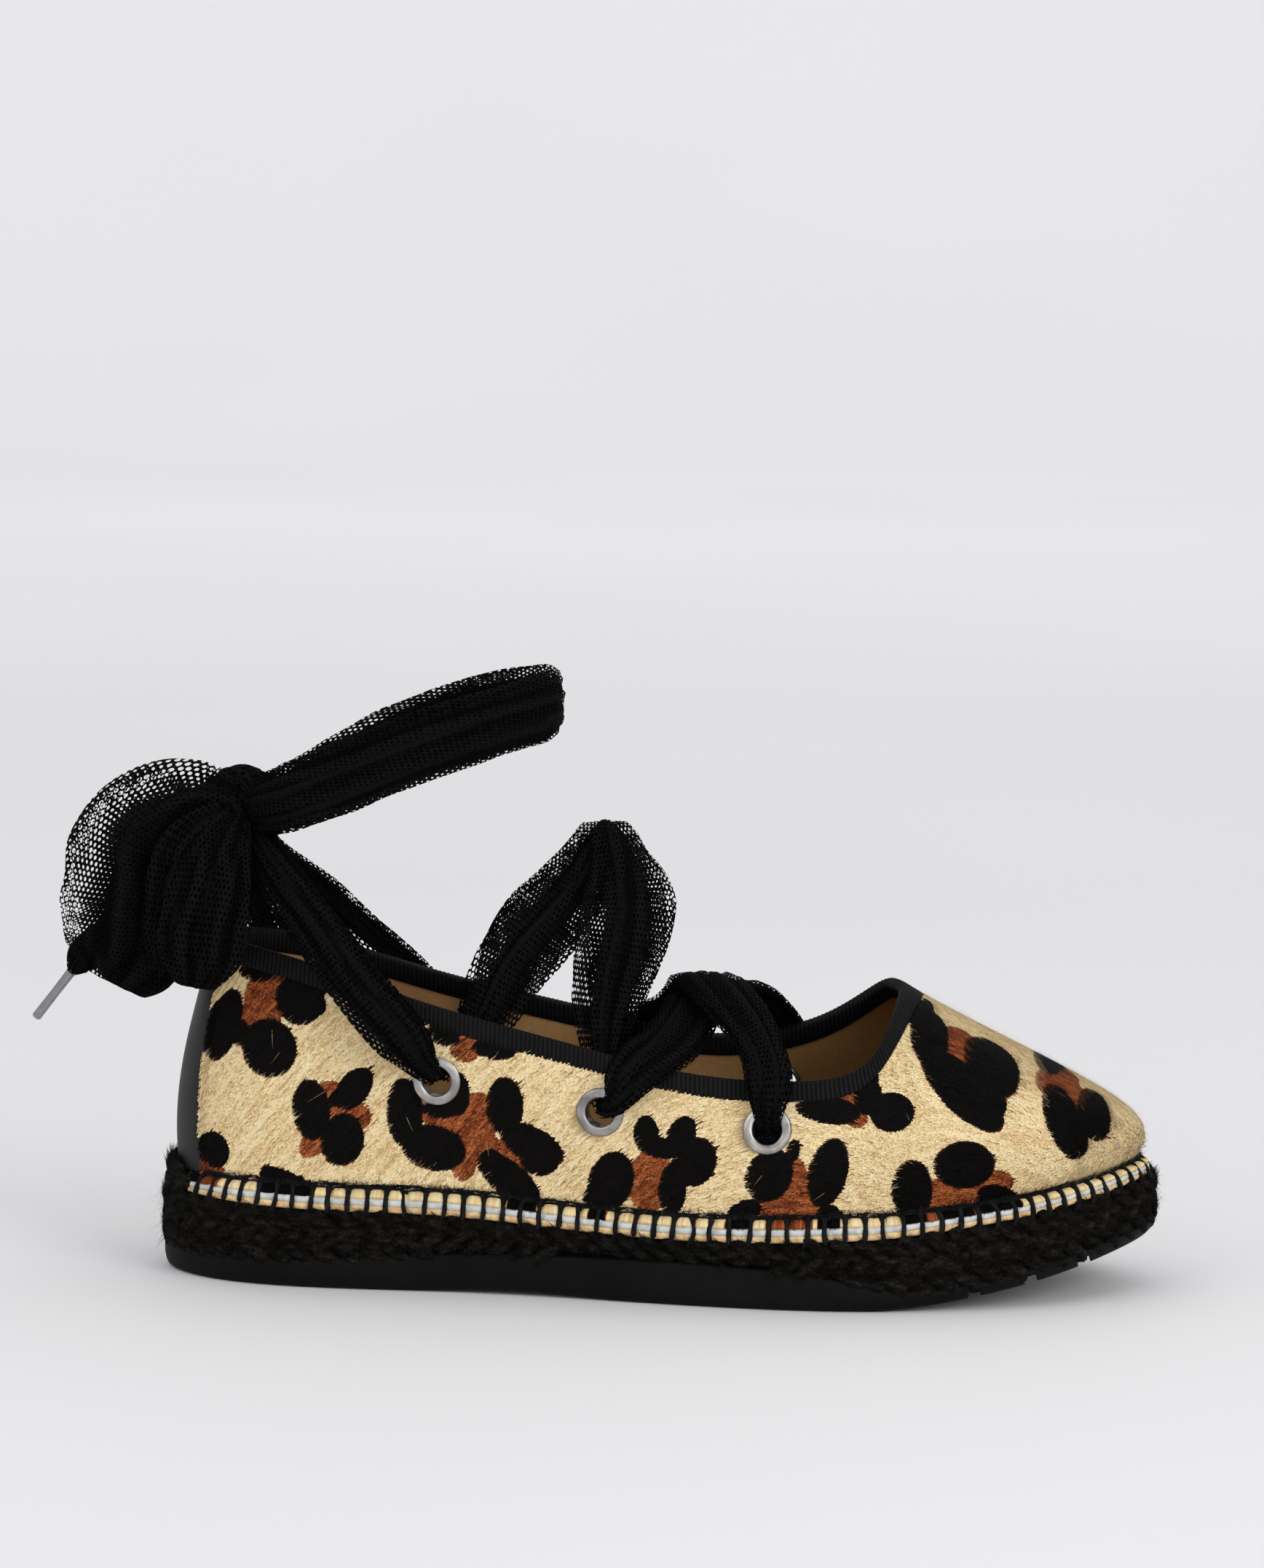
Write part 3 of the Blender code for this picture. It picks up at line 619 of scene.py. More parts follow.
def softbox(name, at, size, power, aim=TARGET):
    lamp = bpy.data.lights.new(name, "AREA")
    lamp.shape, lamp.size, lamp.size_y, lamp.energy = "RECTANGLE", *size, power
    stand = bpy.data.objects.new(name, lamp)
    bpy.context.scene.collection.objects.link(stand)
    stand.location, stand.visible_camera = at, False
    stand.rotation_euler = (Vector(aim) - Vector(at)).to_track_quat("-Z", "Y").to_euler()


softbox("light_above", (0.0, 0.2, 2.6), (3.0, 2.4), 8)
softbox("light_left", (-1.7, -1.8, 1.5), (1.8, 1.4), 8.5)
softbox("light_right", (1.7, -1.6, 1.2), (1.4, 1.2), 20)
softbox("light_front", (0.6, -2.6, 0.45), (2.4, 0.7), 9)
softbox("light_behind", (0.0, 2.3, 1.9), (4.5, 1.0), 15, (0, 4.4, 0.1))
world = bpy.data.worlds.new("studio")
world.use_nodes = True
sky = world.node_tree.nodes["Background"].inputs
sky["Color"].default_value, sky["Strength"].default_value = srgb(250, 250, 252), 0.74
bpy.context.scene.world = world
print("lights:", [o.name for o in bpy.context.scene.objects if o.type == "LIGHT"])

# %% [markdown]
# ## The lace's net
# The lace is a ribbon of tulle, a net of six-sided holes about a millimetre and
# a half across. Three cosine waves at sixty degrees to each other add up to just
# that pattern: their sum is low along the threads and high in the holes. Alpha
# is 1 on the threads only. The point value cover closes the holes where many
# folds of net lie on each other, in patches, as folds never lie evenly. The
# point value fold carries painted shade and highlight: the valleys between
# pleats are painted darker and their ridges lighter.

# %% The net material
HOLE_PITCH = 1.5 * MM
WAVES_PER_METRE = 4 * pi / (3**0.5 * HOLE_PITCH)


def net_paint(new):
    across = new.node("SeparateXYZ", None, {0: new.node("UVMap", {"uv_map": "weave"})})
    along = across.output(1)
    half, slant = along * (WAVES_PER_METRE / 2), across * (WAVES_PER_METRE * 3**0.5 / 2)
    holes = (along * WAVES_PER_METRE).cosine() + (half + slant).cosine() + (half - slant).cosine()
    cover = new.node("Attribute", {"attribute_name": "cover"}, out=2)
    fold = new.node("Attribute", {"attribute_name": "fold"}, out=2)
    patchy = (noise(new, 300, 3.0) - 0.5) * cover.between(-0.25, 0.1) * 5.0
    thread = 1 - (holes - cover * 4.2 - patchy).between(-0.85, -0.55)
    # Painted shade and highlight: fold darkens the pleat valleys and lightens their ridges, and noise adds random
    # tone.
    lit = fold + noise(new, 700, 4.0) * 0.5
    shade = lit.ramp((0.3, srgb(3, 3, 3)), (0.65, srgb(6, 6, 6)), (0.95, srgb(17, 17, 18)))
    return {"Base Color": shade, "Alpha": thread, "Normal": bump(new, holes * -1, 0.00012, 0.8)}


net = material("tulle_net", net_paint, Roughness=0.9, Specular_IOR_Level=0.03)
print("net waves per metre:", round(WAVES_PER_METRE))

# %% [markdown]
# ## How a gathered ribbon is built
# Gathered net has a dense pleated middle and a see-through fringe of single net
# at its edges. So each stretch of lace is one closed pleated body, which is
# opaque, between two wider sheets of open net. Both follow the same path. At
# each point of the path the ribbon has a width and a thickness, and outward
# says which way its flat face looks.

# %% A stretch of lace
PLEATS = (5, 8, 13)  # ridges round the body, three sets over each other
SWAYS = (3, 5, 9)  # and across the open sheets
BODY_SIDES, SHEET_COLUMNS = 44, 23
SHEET_GAP = 0.25 * MM


def lace(
    name, route, outward, seed, fringe=(0.15, 0.15), replaces=(),
    gather=1.7, spacing=1.3, lift=0.0, ridge=0.3, thin=1.0, dense=0.12, mesh_size=1.1, sheer=0.0, ragged=0.04,
    soften=0.25,
):
    """route has x, y, z, width and thickness in millimetres. fringe is the share of the width on each
    side that is single net. thin flattens the body inside its sheets, dense closes the sheets' holes,
    mesh_size scales the net's holes, sheer opens the body's own holes towards its edges, ragged is
    how far the outer edges wander, and soften closes the sheets' holes towards the body."""
    path = through(np.array(route, float) * MM, spacing * MM)
    at, half, depth = path[:, :3].copy(), path[:, 3] / 2, path[:, 4] / 2
    ahead = unit(np.gradient(at, axis=0))
    across = unit(np.cross(outward(at), ahead))
    face = np.cross(ahead, across)
    count = len(path)
    share = np.linspace(0, 1, count)
    at += face * (lift * MM * np.sin(pi * share))[:, None]
    chance = np.random.default_rng(seed)
    knots = max(3, count // 12)

    def ripple(angle, sets):
        total = np.zeros((count, len(angle)))
        for number, times in enumerate(sets):
            drift = wave(2.2, share, seed * 17 + number, knots) + chance.uniform(0, 2 * pi)
            total += np.sin(times * angle[None, :] + drift[:, None]) / (1 + 0.4 * number)
        return total / 1.9

    def swept(wide, deep):
        return at[:, None] + across[:, None] * wide[..., None] + face[:, None] * deep[..., None]

    run = np.cumsum(np.concatenate([[0], np.linalg.norm(np.diff(at, axis=0), axis=1)]))

    def woven(wide, shift):
        """Where each point lies in the flat net, which is wider than the gathered ribbon."""
        flat = np.stack(np.broadcast_arrays(wide * gather + shift * MM, run[:, None]), axis=-1)
        return flat.reshape(-1, 2) / mesh_size

    turn = np.linspace(0, 2 * pi, BODY_SIDES, endpoint=False)
    middle = (fringe[0] - fringe[1]) * half
    body_half = half * (1 - fringe[0] - fringe[1])
    pleat = ripple(turn, PLEATS)
    wide = middle[:, None] + body_half[:, None] * np.cos(turn) * (1 + 0.05 * pleat)
    body = swept(wide, depth[:, None] * thin * np.sin(turn) * (1 + ridge * pleat))
    points, faces = [body.reshape(-1, 3)], [grid(count, len(turn), closed_columns=True)]
    near_edge = np.clip((np.abs(np.cos(turn)) - 0.35) / 0.65, 0, 1)
    cover = [(1.3 - near_edge * (0.12 + 2 * sheer) - sheer * 0.3 + 0.06 * pleat).ravel()]
    # fold is painted shade and highlight: low in the valleys between pleats, high on their ridges.
    fold = [(0.5 + 1.5 * ridge * pleat).ravel()]
    uv = [woven(wide, 0.2)]
    for end in (0, count - 1):
        points.append(at[end : end + 1] + across[end] * middle[end])
        ring = end * len(turn) + np.arange(len(turn))
        hub = np.full(len(turn), sum(len(p) for p in points) - 1)
        cap = np.stack([ring, np.roll(ring, -1), hub], axis=1)
        faces.append(cap if end else cap[:, ::-1])
        cover.append(np.ones(1))
        fold.append(np.full(1, 0.5))
        uv.append(np.zeros((1, 2)))
    start = sum(len(p) for p in points)
    side = np.linspace(-1, 1, SHEET_COLUMNS)
    for number, sign in enumerate((1, -1)):
        edge = 1 + wave(ragged, share, seed * 31 + number, knots * 2)
        bulge = np.sqrt(np.clip(1 - side**2, 0, 1))
        sway = ripple(side * pi, SWAYS)
        wide = (half * edge)[:, None] * side
        deep = sign * (depth[:, None] * bulge + SHEET_GAP) + depth[:, None] * 0.22 * sway
        points.append(swept(wide, deep).reshape(-1, 3))
        faces.append(start + grid(count, len(side)))
        start += count * len(side)
        rim = np.clip((np.abs(side) - 0.93) / 0.07, 0, 1) * 0.3
        first, second = 2 * fringe[0], 2 * fringe[1]
        outside = np.maximum((first - 1 - side) / (first + 0.01), (side - 1 + second) / (second + 0.01))
        inner = np.clip(1 - outside, 0, 1) ** 2 * soften
        cover.append((dense + rim + inner + 0.22 * np.clip(sway, 0, 1)).ravel())
        # On the open sheets fold follows their ripples, as painted highlight and painted shade.
        fold.append((0.55 + 0.3 * sway).ravel())
        uv.append(woven(wide, number * 0.5))
    values = {"cover": np.concatenate(cover), "fold": np.concatenate(fold)}
    made = piece(
        name, np.concatenate(points), faces, net, "tulle", replaces, np.concatenate(uv), values=values
    )
    return made, at


def facing(*direction):
    """The same outward direction all along."""
    return lambda at: np.broadcast_to(np.array(direction, float), at.shape)


def over_foot(below):
    """Outward from a line that runs along the shoe this many millimetres under the ribbon."""
    return lambda at: np.column_stack([np.zeros(len(at)), at[:, 1], np.full(len(at), below * MM)])


def route_length(path):
    return float(np.linalg.norm(np.diff(path, axis=0), axis=1).sum())


print("pleats round a body:", PLEATS)

# %% [markdown]
# ## The laces across the foot
# From each front eyelet the lace climbs over the foot, crosses its twin and
# goes into the other side's middle eyelet. It comes up inside, crosses again
# high above the instep and leaves through the rear eyelet from within. Each
# route is a list of given points: x, y, z, width and thickness.

# %% Lacing through the eyelets
FRONT_CROSSING = (
    (29.8, -41, 54.5, 11, 3.2),
    (28.3, -35.5, 61.5, 11.5, 3.4),
    (22, -24, 69.5, 13.5, 3.6),
    (11.5, 0, 74, 17, 4.0),
    (8.5, 14.5, 70.5, 16.5, 3.6),
    (3.2, 28, 63.5, 16, 3.4),
    (-4.8, 38.1, 57, 13, 3.2),
)
REAR_CROSSING = (
    (-12, -26.3, 62, 12, 3.0),
    (-11.8, -24.3, 73, 17, 3.2),
    (-8.5, -19, 91, 22, 3.4),
    (-9.5, -10, 103.5, 17, 3.6),
    (-14, 0, 112, 12.5, 4.0),
    (-19.5, 9, 103.5, 16, 3.6),
    (-27, 16, 93, 19.5, 3.4),
    (-37.5, 21.5, 79, 19, 3.2),
    (-43.5, 23.5, 67, 14, 3.2),
)
FRONT_BAR = ((29, -24, 43.5, 11, 3.2), (29, 0, 42.5, 12, 3.4), (29, 24, 43.5, 11, 3.2))
NECK = ((1.2, -1.2, -1.2, 6.0, 3.2), (4.6, 2.4, -4.2, 8.0, 3.2))  # away, out, in, width, thickness
LEANS = {"front": (0.05, 1.0), "middle": (0.75, 0.66), "rear": (-0.6, 0.8)}
LEANS_INSIDE = {"front": (0.0, -0.1), "middle": (0.05, 1.0), "rear": (0.45, 0.9)}


def neck(side, name, outside):
    """The lace's first two rows, from inside an eyelet's hole to just above the washer or the lining."""
    centre, normal = HOLES[side, name]
    along, climb = (LEANS if outside else LEANS_INSIDE)[name]
    lean = np.array([along, 0, climb])
    lean = unit(lean - normal * (lean @ normal))
    rows = []
    for away, out, within, width, thick in NECK:
        at = centre / MM + normal * (out if outside else within) + lean * away
        rows.append((*at, width, thick))
    return rows


def mirrored(rows):
    return [(x, -y, z, width, thick) for x, y, z, width, thick in rows]


OTHER = {"lateral": "medial", "medial": "lateral"}
CROSSINGS = (  # node, route, first and last eyelet, outside, axis below, how far one lies over, fringe
    ("lace_cross_front", FRONT_CROSSING, "front", "middle", True, 30, 1.6, (0.12, 0.08)),
    ("lace_cross_rear", REAR_CROSSING, "middle", "rear", False, 8, 1.6, (0.3, 0.3)),
)
for node, middle, start, end, outside, axis, over, fringe in CROSSINGS:
    for number, side in enumerate(("lateral", "medial")):
        rows = middle if side == "lateral" else mirrored(middle)
        route = neck(side, start, outside) + list(rows) + neck(OTHER[side], end, outside)[::-1]
        lift = over if side == "lateral" else -over
        seed = 11 + 2 * number + (5 if outside else 0)
        name = f"{node.replace('lace', 'tulle')}_{side}"
        dense = 0.12 if outside else 0.0
        lace(name, route, over_foot(axis), seed, fringe, [node], lift=lift, dense=dense)
bar_route = neck("lateral", "front", False) + list(FRONT_BAR) + neck("medial", "front", False)[::-1]
lace("tulle_bar_inside", bar_route, over_foot(200), 31, (0.05, 0.05), ["lace_bar"])
print("laced through", len(HOLES), "eyelets")

# %% [markdown]
# ## The knot, the ankle loop and the two strands
# From the rear eyelets two strands run back to a knot behind the ankle, and a
# loop goes from the knot round the ankle. These are the free cords of the shoe,
# so each says how long and how wide it is. The knot is three turns of net
# wrapped round one another, which hides where the others end.

# %% Knot, loop and strands
KNOT_AT = np.array([-106.5, -1, 116.5])
KNOT_RADII = np.array([8.5, 9, 10])
STRANDS = {
    "lateral": (
        (-60.5, -37, 63.5, 13, 3.2),
        (-68, -36.5, 72, 14, 3.4),
        (-76, -33.5, 81, 14, 3.6),
        (-88, -26, 95, 13, 4.0),
        (-97, -16.5, 105, 11, 5.0),
    ),
    "medial": (
        (-61.5, 37, 64, 10, 3.2),
        (-70, 35, 72, 13, 3.4),
        (-79.5, 31, 80, 14, 3.6),
        (-92, 24.5, 93, 13.5, 4.0),
        (-100, 16, 103, 9, 5.0),
    ),
}
RING = (
    (-94, -17, 121.5, 17, 6),
    (-75, -24, 129.5, 17.5, 4.2),
    (-60, -26, 136, 17.5, 3.6),
    (-45, -22, 141, 18, 3.6),
    (-34, -13, 144, 18, 3.8),
    (-27.5, 0, 145.5, 17, 4.2),
    (-34, 13, 145, 17, 3.8),
    (-45, 22, 142, 17, 3.6),
    (-60, 26, 137, 17, 3.6),
    (-77, 24, 130, 16, 4.2),
    (-93, 17, 122, 14, 6),
)
STRAND_NET = {"lateral": ((0.05, 0.17), 0.12), "medial": ((0.5, 0.10), -0.05)}  # fringe, and dense
TURN_POINTS = 15


def at_knot(towards, share=0.75):
    """A point in the knot on the way to the given one; share 1 is the knot's surface."""
    direction = unit(np.array(towards[:3], float) - KNOT_AT)
    return KNOT_AT + direction * share / np.linalg.norm(direction / KNOT_RADII)


def away_from(x, y):
    """Outward from an upright line at x, y in millimetres."""
    return lambda at: np.column_stack([at[:, 0] - x * MM, at[:, 1] - y * MM, np.zeros(len(at))])


def wrap(name, tilt, spin, width, seed, swell):
    """One turn of lace round the knot. tilt and spin turn its plane, in degrees."""
    around = np.linspace(0, 2 * pi, TURN_POINTS)
    circle = np.stack([np.cos(around), np.sin(around), np.zeros(TURN_POINTS)], axis=1)
    lean = Matrix.Rotation(np.radians(spin), 3, "Z") @ Matrix.Rotation(np.radians(tilt), 3, "Y")
    circle = circle @ np.array(lean).T
    route = [(*(KNOT_AT + KNOT_RADII * swell * c), width, 6.0) for c in circle]
    centre = KNOT_AT * MM
    looks = {"spacing": 0.9, "gather": 1.2, "ridge": 0.16}
    return lace(name, route, lambda at: at - centre, seed, (0.06, 0.06), **looks)[0]


wraps = [
    wrap("tulle_knot_turn_one", 90, 62, 13, 41, 0.80),
    wrap("tulle_knot_turn_two", 58, -25, 11, 43, 0.84),
    wrap("tulle_knot_turn_three", 25, 20, 12, 47, 0.62),
]
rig.replaces(wraps[0], "lace_knot")
strands = {}
for number, (side, rows) in enumerate(STRANDS.items()):
    sign = -1 if side == "lateral" else 1
    route = neck(side, "rear", True) + list(rows) + [(*at_knot(rows[-1]), 6, 5)]
    fringe, dense = STRAND_NET[side]
    strands[side] = lace(
        f"tulle_strand_{side}", route, facing(-0.15, sign, 0.2), 51 + number, fringe,
        [f"lace_strand_{side}"], dense=dense,
    )
ring_route = [(*at_knot(RING[0]), 14, 7), *RING, (*at_knot(RING[-1]), 12, 7)]
ring, ring_path = lace(
    "tulle_ankle_loop", ring_route, away_from(-66, 0), 61, (0.05, 0.16), ["lace_ankle_loop"],
    gather=1.8, ridge=0.22, sheer=0.05,
)
print("ankle loop:", round(route_length(ring_path) / MM), "mm of lace")

# %% [markdown]
# ## The bow and the lace's ends
# The bow hangs behind the heel: one large loop puffed open, so that its back
# half is clear net, and a small one folded close beside the knot. They are
# gathered ribbons too, only thick ones whose sheets stand far apart. Each end
# of the lace is rolled thin and held in a clear tip.

# %% Bow, ends and tips
LARGE_LOOP = (
    (-108, -6, 119, 13, 9),
    (-117, -8, 119.5, 22, 14),
    (-126.5, -9, 112.5, 34, 18),
    (-131.5, -9.5, 102.5, 37, 18),
    (-133.5, -10, 92.5, 35, 17),
    (-134.5, -10, 84.5, 31, 13),
    (-136, -10, 78, 28, 8),
    (-138, -10, 73.5, 18, 4),
)
FOLD = (
    (-110, -12, 117, 10, 6),
    (-117, -17, 110, 14, 8),
    (-120.5, -19, 99, 17, 9),
    (-122, -19, 88, 15, 8),
    (-123, -18, 80, 8, 5),
)
SMALL_LOOP = (
    (-107, -10, 115, 9, 7),
    (-109, -18, 109.5, 15, 9),
    (-111, -26, 101, 20, 12),
    (-112, -30, 91, 23, 13),
    (-113, -31, 82, 20, 11),
    (-114, -31, 76, 10, 6),
)
LATERAL_END = ((-124, 14, 104), (-135, 14, 92), (-143.5, 9, 82.5), (-148.5, 3.5, 76.5))
MEDIAL_END = ((-111, 17, 105), (-105, 25, 93), (-102, 29, 82), (-100, 30.5, 72))
LATERAL_TIP, MEDIAL_TIP = (-160, -3, 61), (-98, 31.5, 54)
TIP_LENGTH, TIP_RADIUS, TIP_SIDES = 17.5 * MM, 1.3 * MM, 24
TIP_SHAPE = (  # share of the length, and share of the radius
    (0, 0.82), (0.02, 1.0), (0.08, 1.0), (0.3, 0.93), (0.55, 0.9), (0.8, 0.93), (0.97, 0.95), (1, 0.6),
)
END_WIDTHS = {"lateral": (7.6, 7.6, 7.6, 7.6), "medial": (9, 12, 11, 6)}
END_FRINGE = {"lateral": (0.05, 0.05), "medial": (0.1, 0.45)}

large, _ = lace(
    "tulle_bow_large", LARGE_LOOP, facing(0.1, -1, 0.15), 71, (0.33, 0.0), ["lace_bow_large"],
    gather=1.15, spacing=1.0, ridge=0.16, thin=0.6, dense=-0.1, mesh_size=0.9, sheer=0.06, ragged=0.045,
    soften=0.6,
)
fold, _ = lace(
    "tulle_bow_fold", FOLD, facing(0.1, -1, 0.1), 77, (0.12, 0.02), gather=1.6, spacing=1.0, ridge=0.14,
)
small, _ = lace(
    "tulle_bow_small", SMALL_LOOP, facing(0.1, -1, 0.1), 73, (0.06, 0.08), ["lace_bow_small"],
    gather=1.5, spacing=1.0, ridge=0.12, thin=0.85,
)
tip_paint = clouded(300, 2.0, (0.3, srgb(70, 70, 74)), (0.7, srgb(120, 120, 124)))
tip_plastic = material(
    "clear_tip", tip_paint, Roughness=0.18, Alpha=0.62, Coat_Weight=0.6, Coat_Roughness=0.08
)


def tip(name, node, start, ahead):
    """A thin clear sleeve with a rolled mouth, slightly pinched where it was heated."""
    side = unit(np.cross(ahead, (0, 1, 0)))
    lift = np.cross(side, ahead)
    turn = np.linspace(0, 2 * pi, TIP_SIDES, endpoint=False)
    rings = [
        start + ahead * TIP_LENGTH * along
        + TIP_RADIUS * swell * (side * np.cos(turn)[:, None] + lift * np.sin(turn)[:, None] * 0.9)
        for along, swell in TIP_SHAPE
    ]
    points = np.concatenate([*rings, [start, start + ahead * TIP_LENGTH]])
    last = (len(TIP_SHAPE) - 1) * TIP_SIDES
    ring = np.arange(TIP_SIDES)
    faces = [
        grid(len(TIP_SHAPE), TIP_SIDES, closed_columns=True),
        np.stack([np.roll(ring, -1), ring, np.full(TIP_SIDES, len(points) - 2)], axis=1),
        np.stack([last + ring, last + np.roll(ring, -1), np.full(TIP_SIDES, len(points) - 1)], axis=1),
    ]
    return piece(name, points, faces, tip_plastic, "lace_tip", [node])


ends = {}
for side, rows, aim, seed in (
    ("lateral", LATERAL_END, LATERAL_TIP, 81),
    ("medial", MEDIAL_END, MEDIAL_TIP, 83),
):
    ahead = unit(np.array(aim, float) - rows[-1])
    final = (np.array(rows[-1]) + ahead * 0.8) * MM
    sleeve = tip(f"clear_tip_{side}", f"lace_tip_{side}", final, ahead)
    rolled = [(*at_knot(rows[0]), 5, 4)]
    rolled += [(*row, width, 3.8) for row, width in zip(rows, END_WIDTHS[side])]
    rolled.append((*(final / MM + ahead * 3), 1.9, 1.9))
    end, path = lace(
        f"tulle_end_{side}", rolled, facing(0, -1, 0.1), seed, END_FRINGE[side], [f"lace_end_{side}"],
        spacing=1.0, gather=1.3,
    )
    ends[side] = (end, path, sleeve)

# %% [markdown]
# ## What the free laces are
# A cord says where it leaves the shoe, how long and wide it is and what is at
# its far end. The knot and the bow belong to the outer strand, and the clear
# tips to the two ends.

on_knot = [*wraps, large, fold, small]
for side, (strand, path) in strands.items():
    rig.cord(
        strand, exit=HOLES[side, "rear"][0], length=round(route_length(path), 3), diameter=0.012,
        far_end="knot", stiffness="limp", lay="taut", path=path,
        with_pieces=on_knot if side == "lateral" else (),
    )
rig.cord(
    ring, exit=ring_path[0], length=round(route_length(ring_path), 3), diameter=0.017,
    far_end="knot", stiffness="limp", lay="hanging", path=ring_path,
)
for side, (end, path, sleeve) in ends.items():
    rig.cord(
        end, exit=path[0], length=round(route_length(path), 3),
        diameter=0.0095 if side == "lateral" else 0.008,
        far_end="fitting", stiffness="limp", lay="hanging", path=path, with_pieces=[sleeve],
    )
    print(side, "end:", round(route_length(path) / MM), "mm")

# %% [markdown]
# ## The rubber outsole
# Smooth black rubber wraps the foot of the sole and climbs highest at the
# waist. It is swept as rings of the outline at rising heights and growing
# widths, closed below by a net of points from side to side, and three grooves
# are cut across the forefoot with a Boolean, as a mould's ribs would leave them.

# %% The rubber
AROUND = 640
LOOP = np.arange(AROUND) * ROUND / AROUND
GROOVES_AT = np.array((0.822, 0.877, 0.929))
GROOVE_WIDTH, GROOVE_DEPTH = 3.2 * MM, 2.2 * MM


def ring_at(inset, height, u=LOOP):
    """One ring round the sole. height takes the x of its points and gives their z."""
    flat, _ = outline(u, inset)
    return np.column_stack([flat, height(flat[:, 0])])


def rubber_side(share, drop=0.0):
    return lambda x: underside(x) + share * (sole_height(x, SOLE_RUBBER) - underside(x)) - drop


def rubber_paint(new):
    grain = noise(new, 1400, 2.0)
    cloud = noise(new, 60, 3.0)
    shade = cloud.ramp((0.3, srgb(9, 8, 7)), (0.7, srgb(17, 16, 15)))
    return {"Base Color": shade, "Roughness": cloud * 0.2 + 0.5, "Normal": bump(new, grain, 0.00004)}


rubber = material("smooth_rubber", rubber_paint, Specular_IOR_Level=0.08)
rings = [
    ring_at(8.0 * MM, underside),
    ring_at(3.4 * MM, underside),
    ring_at(2.1 * MM, lambda x: underside(x) + 0.2 * MM),
    ring_at(1.2 * MM, lambda x: underside(x) + 0.9 * MM),
    ring_at(0.8 * MM, lambda x: underside(x) + 1.9 * MM),
    ring_at(0.45 * MM, rubber_side(0.5)),
    ring_at(0.40 * MM, rubber_side(0.8)),
    ring_at(0.55 * MM, rubber_side(1.0, 0.5 * MM)),
    ring_at(1.0 * MM, rubber_side(1.0, 0.05 * MM)),
    ring_at(2.5 * MM, rubber_side(1.0, -0.05 * MM)),
    ring_at(6.0 * MM, rubber_side(1.0, -0.05 * MM)),
]
half_round = AROUND // 2
bottom_left = np.arange(half_round + 1)
bottom_right = (AROUND - bottom_left) % AROUND
top = (len(rings) - 1) * AROUND
strips = np.stack([bottom_left[:-1], bottom_left[1:], bottom_right[1:], bottom_right[:-1]], axis=1)
outsole = piece(
    "rubber_outsole",
    np.concatenate(rings),
    [grid(len(rings), AROUND, closed_columns=True)[:, ::-1], strips, strips[:, ::-1] + top],
    rubber,
    "rubber",
    ["outsole"],
)
for number, along in enumerate(GROOVES_AT):
    x = (along - 0.5) * LENGTH
    climb = float(underside(x + MM) - underside(x - MM)) / (2 * MM)
    bpy.ops.mesh.primitive_cube_add(size=1)
    cutter = bpy.context.object
    cutter.name = f"groove_{number}"
    cutter.scale = (GROOVE_WIDTH, 2 * BALL_WIDTH, 2 * GROOVE_DEPTH)
    cutter.rotation_euler.y = -np.arctan(climb)
    cutter.location = (x, 0, float(underside(x)))
    cut = outsole.modifiers.new("groove", "BOOLEAN")
    cut.operation, cut.solver, cut.object = "DIFFERENCE", "EXACT", cutter
    with bpy.context.temp_override(object=outsole, active_object=outsole):
        bpy.ops.object.modifier_apply(modifier="groove")
    bpy.data.objects.remove(cutter, do_unlink=True)
print("rubber faces:", len(outsole.data.polygons))

# %% [markdown]
# ## The jute braid
# The side of the sole is a flat braid of black jute, sewn up in rows, whose
# strands lean one way in one row and the other way in the next. Each strand is
# a spindle of twisted fibres, so one spindle is worked out as rings of points
# and repeated. At the heel two short rows climb over the stitched edge. A dark
# core behind them closes the gaps.

# %% Braided strands
JUTE_PITCH = 6.0 * MM
BRAID_ROWS = (  # under the jute's top, inset, lean, and how far round from the heel's back, in millimetres
    (-4.4, 2.9, 0.5, 15),
    (-0.8, 2.5, -0.5, 18),
    (3.3, 2.0, 0.5, np.inf),
    (7.8, 2.0, -0.62, np.inf),
    (12.2, 2.0, 0.62, np.inf),
)
STRAND_HALF, STRAND_THICK, STRAND_OUT = 5.6 * MM, 2.4 * MM, 1.7 * MM
SPINDLE_RINGS, SPINDLE_SIDES, TWIST = 11, 12, 1.6


def jute_paint(new):
    fibre = noise(new, 260, 5.0, place(new, (1.0, 1.0, 2.5)), 0.65)
    fine = noise(new, 1500, 4.0)
    shade = (fibre * 0.8 + fine * 0.4).ramp(
        (0.42, srgb(8, 7, 6)), (0.6, srgb(21, 20, 18)), (0.85, srgb(52, 49, 44))
    )
    return {"Base Color": shade, "Normal": bump(new, fibre + fine, 0.0006)}


jute = material("black_jute", jute_paint, Roughness=0.9, Specular_IOR_Level=0.04)


def jute_level(share, drop=0.0):
    def height(x):
        low = sole_height(x, SOLE_RUBBER) + GAP
        return low + share * (sole_height(x) - drop - low)

    return height


core_rings = [
    ring_at(3.0 * MM, jute_level(0)),
    ring_at(2.0 * MM, jute_level(0.1)),
    ring_at(1.7 * MM, jute_level(0.5)),
    ring_at(2.2 * MM, jute_level(1, 1.4 * MM)),
    ring_at(3.4 * MM, jute_level(1, 0.2 * MM)),
    ring_at(9.0 * MM, jute_level(1, 0.2 * MM)),
]
last_ring = (len(core_rings) - 1) * AROUND
piece(
    "jute_core",
    np.concatenate(core_rings),
    [grid(len(core_rings), AROUND, closed_columns=True)[:, ::-1], strips, strips[:, ::-1] + last_ring],
    jute,
    "jute",
    ["midsole"],
)


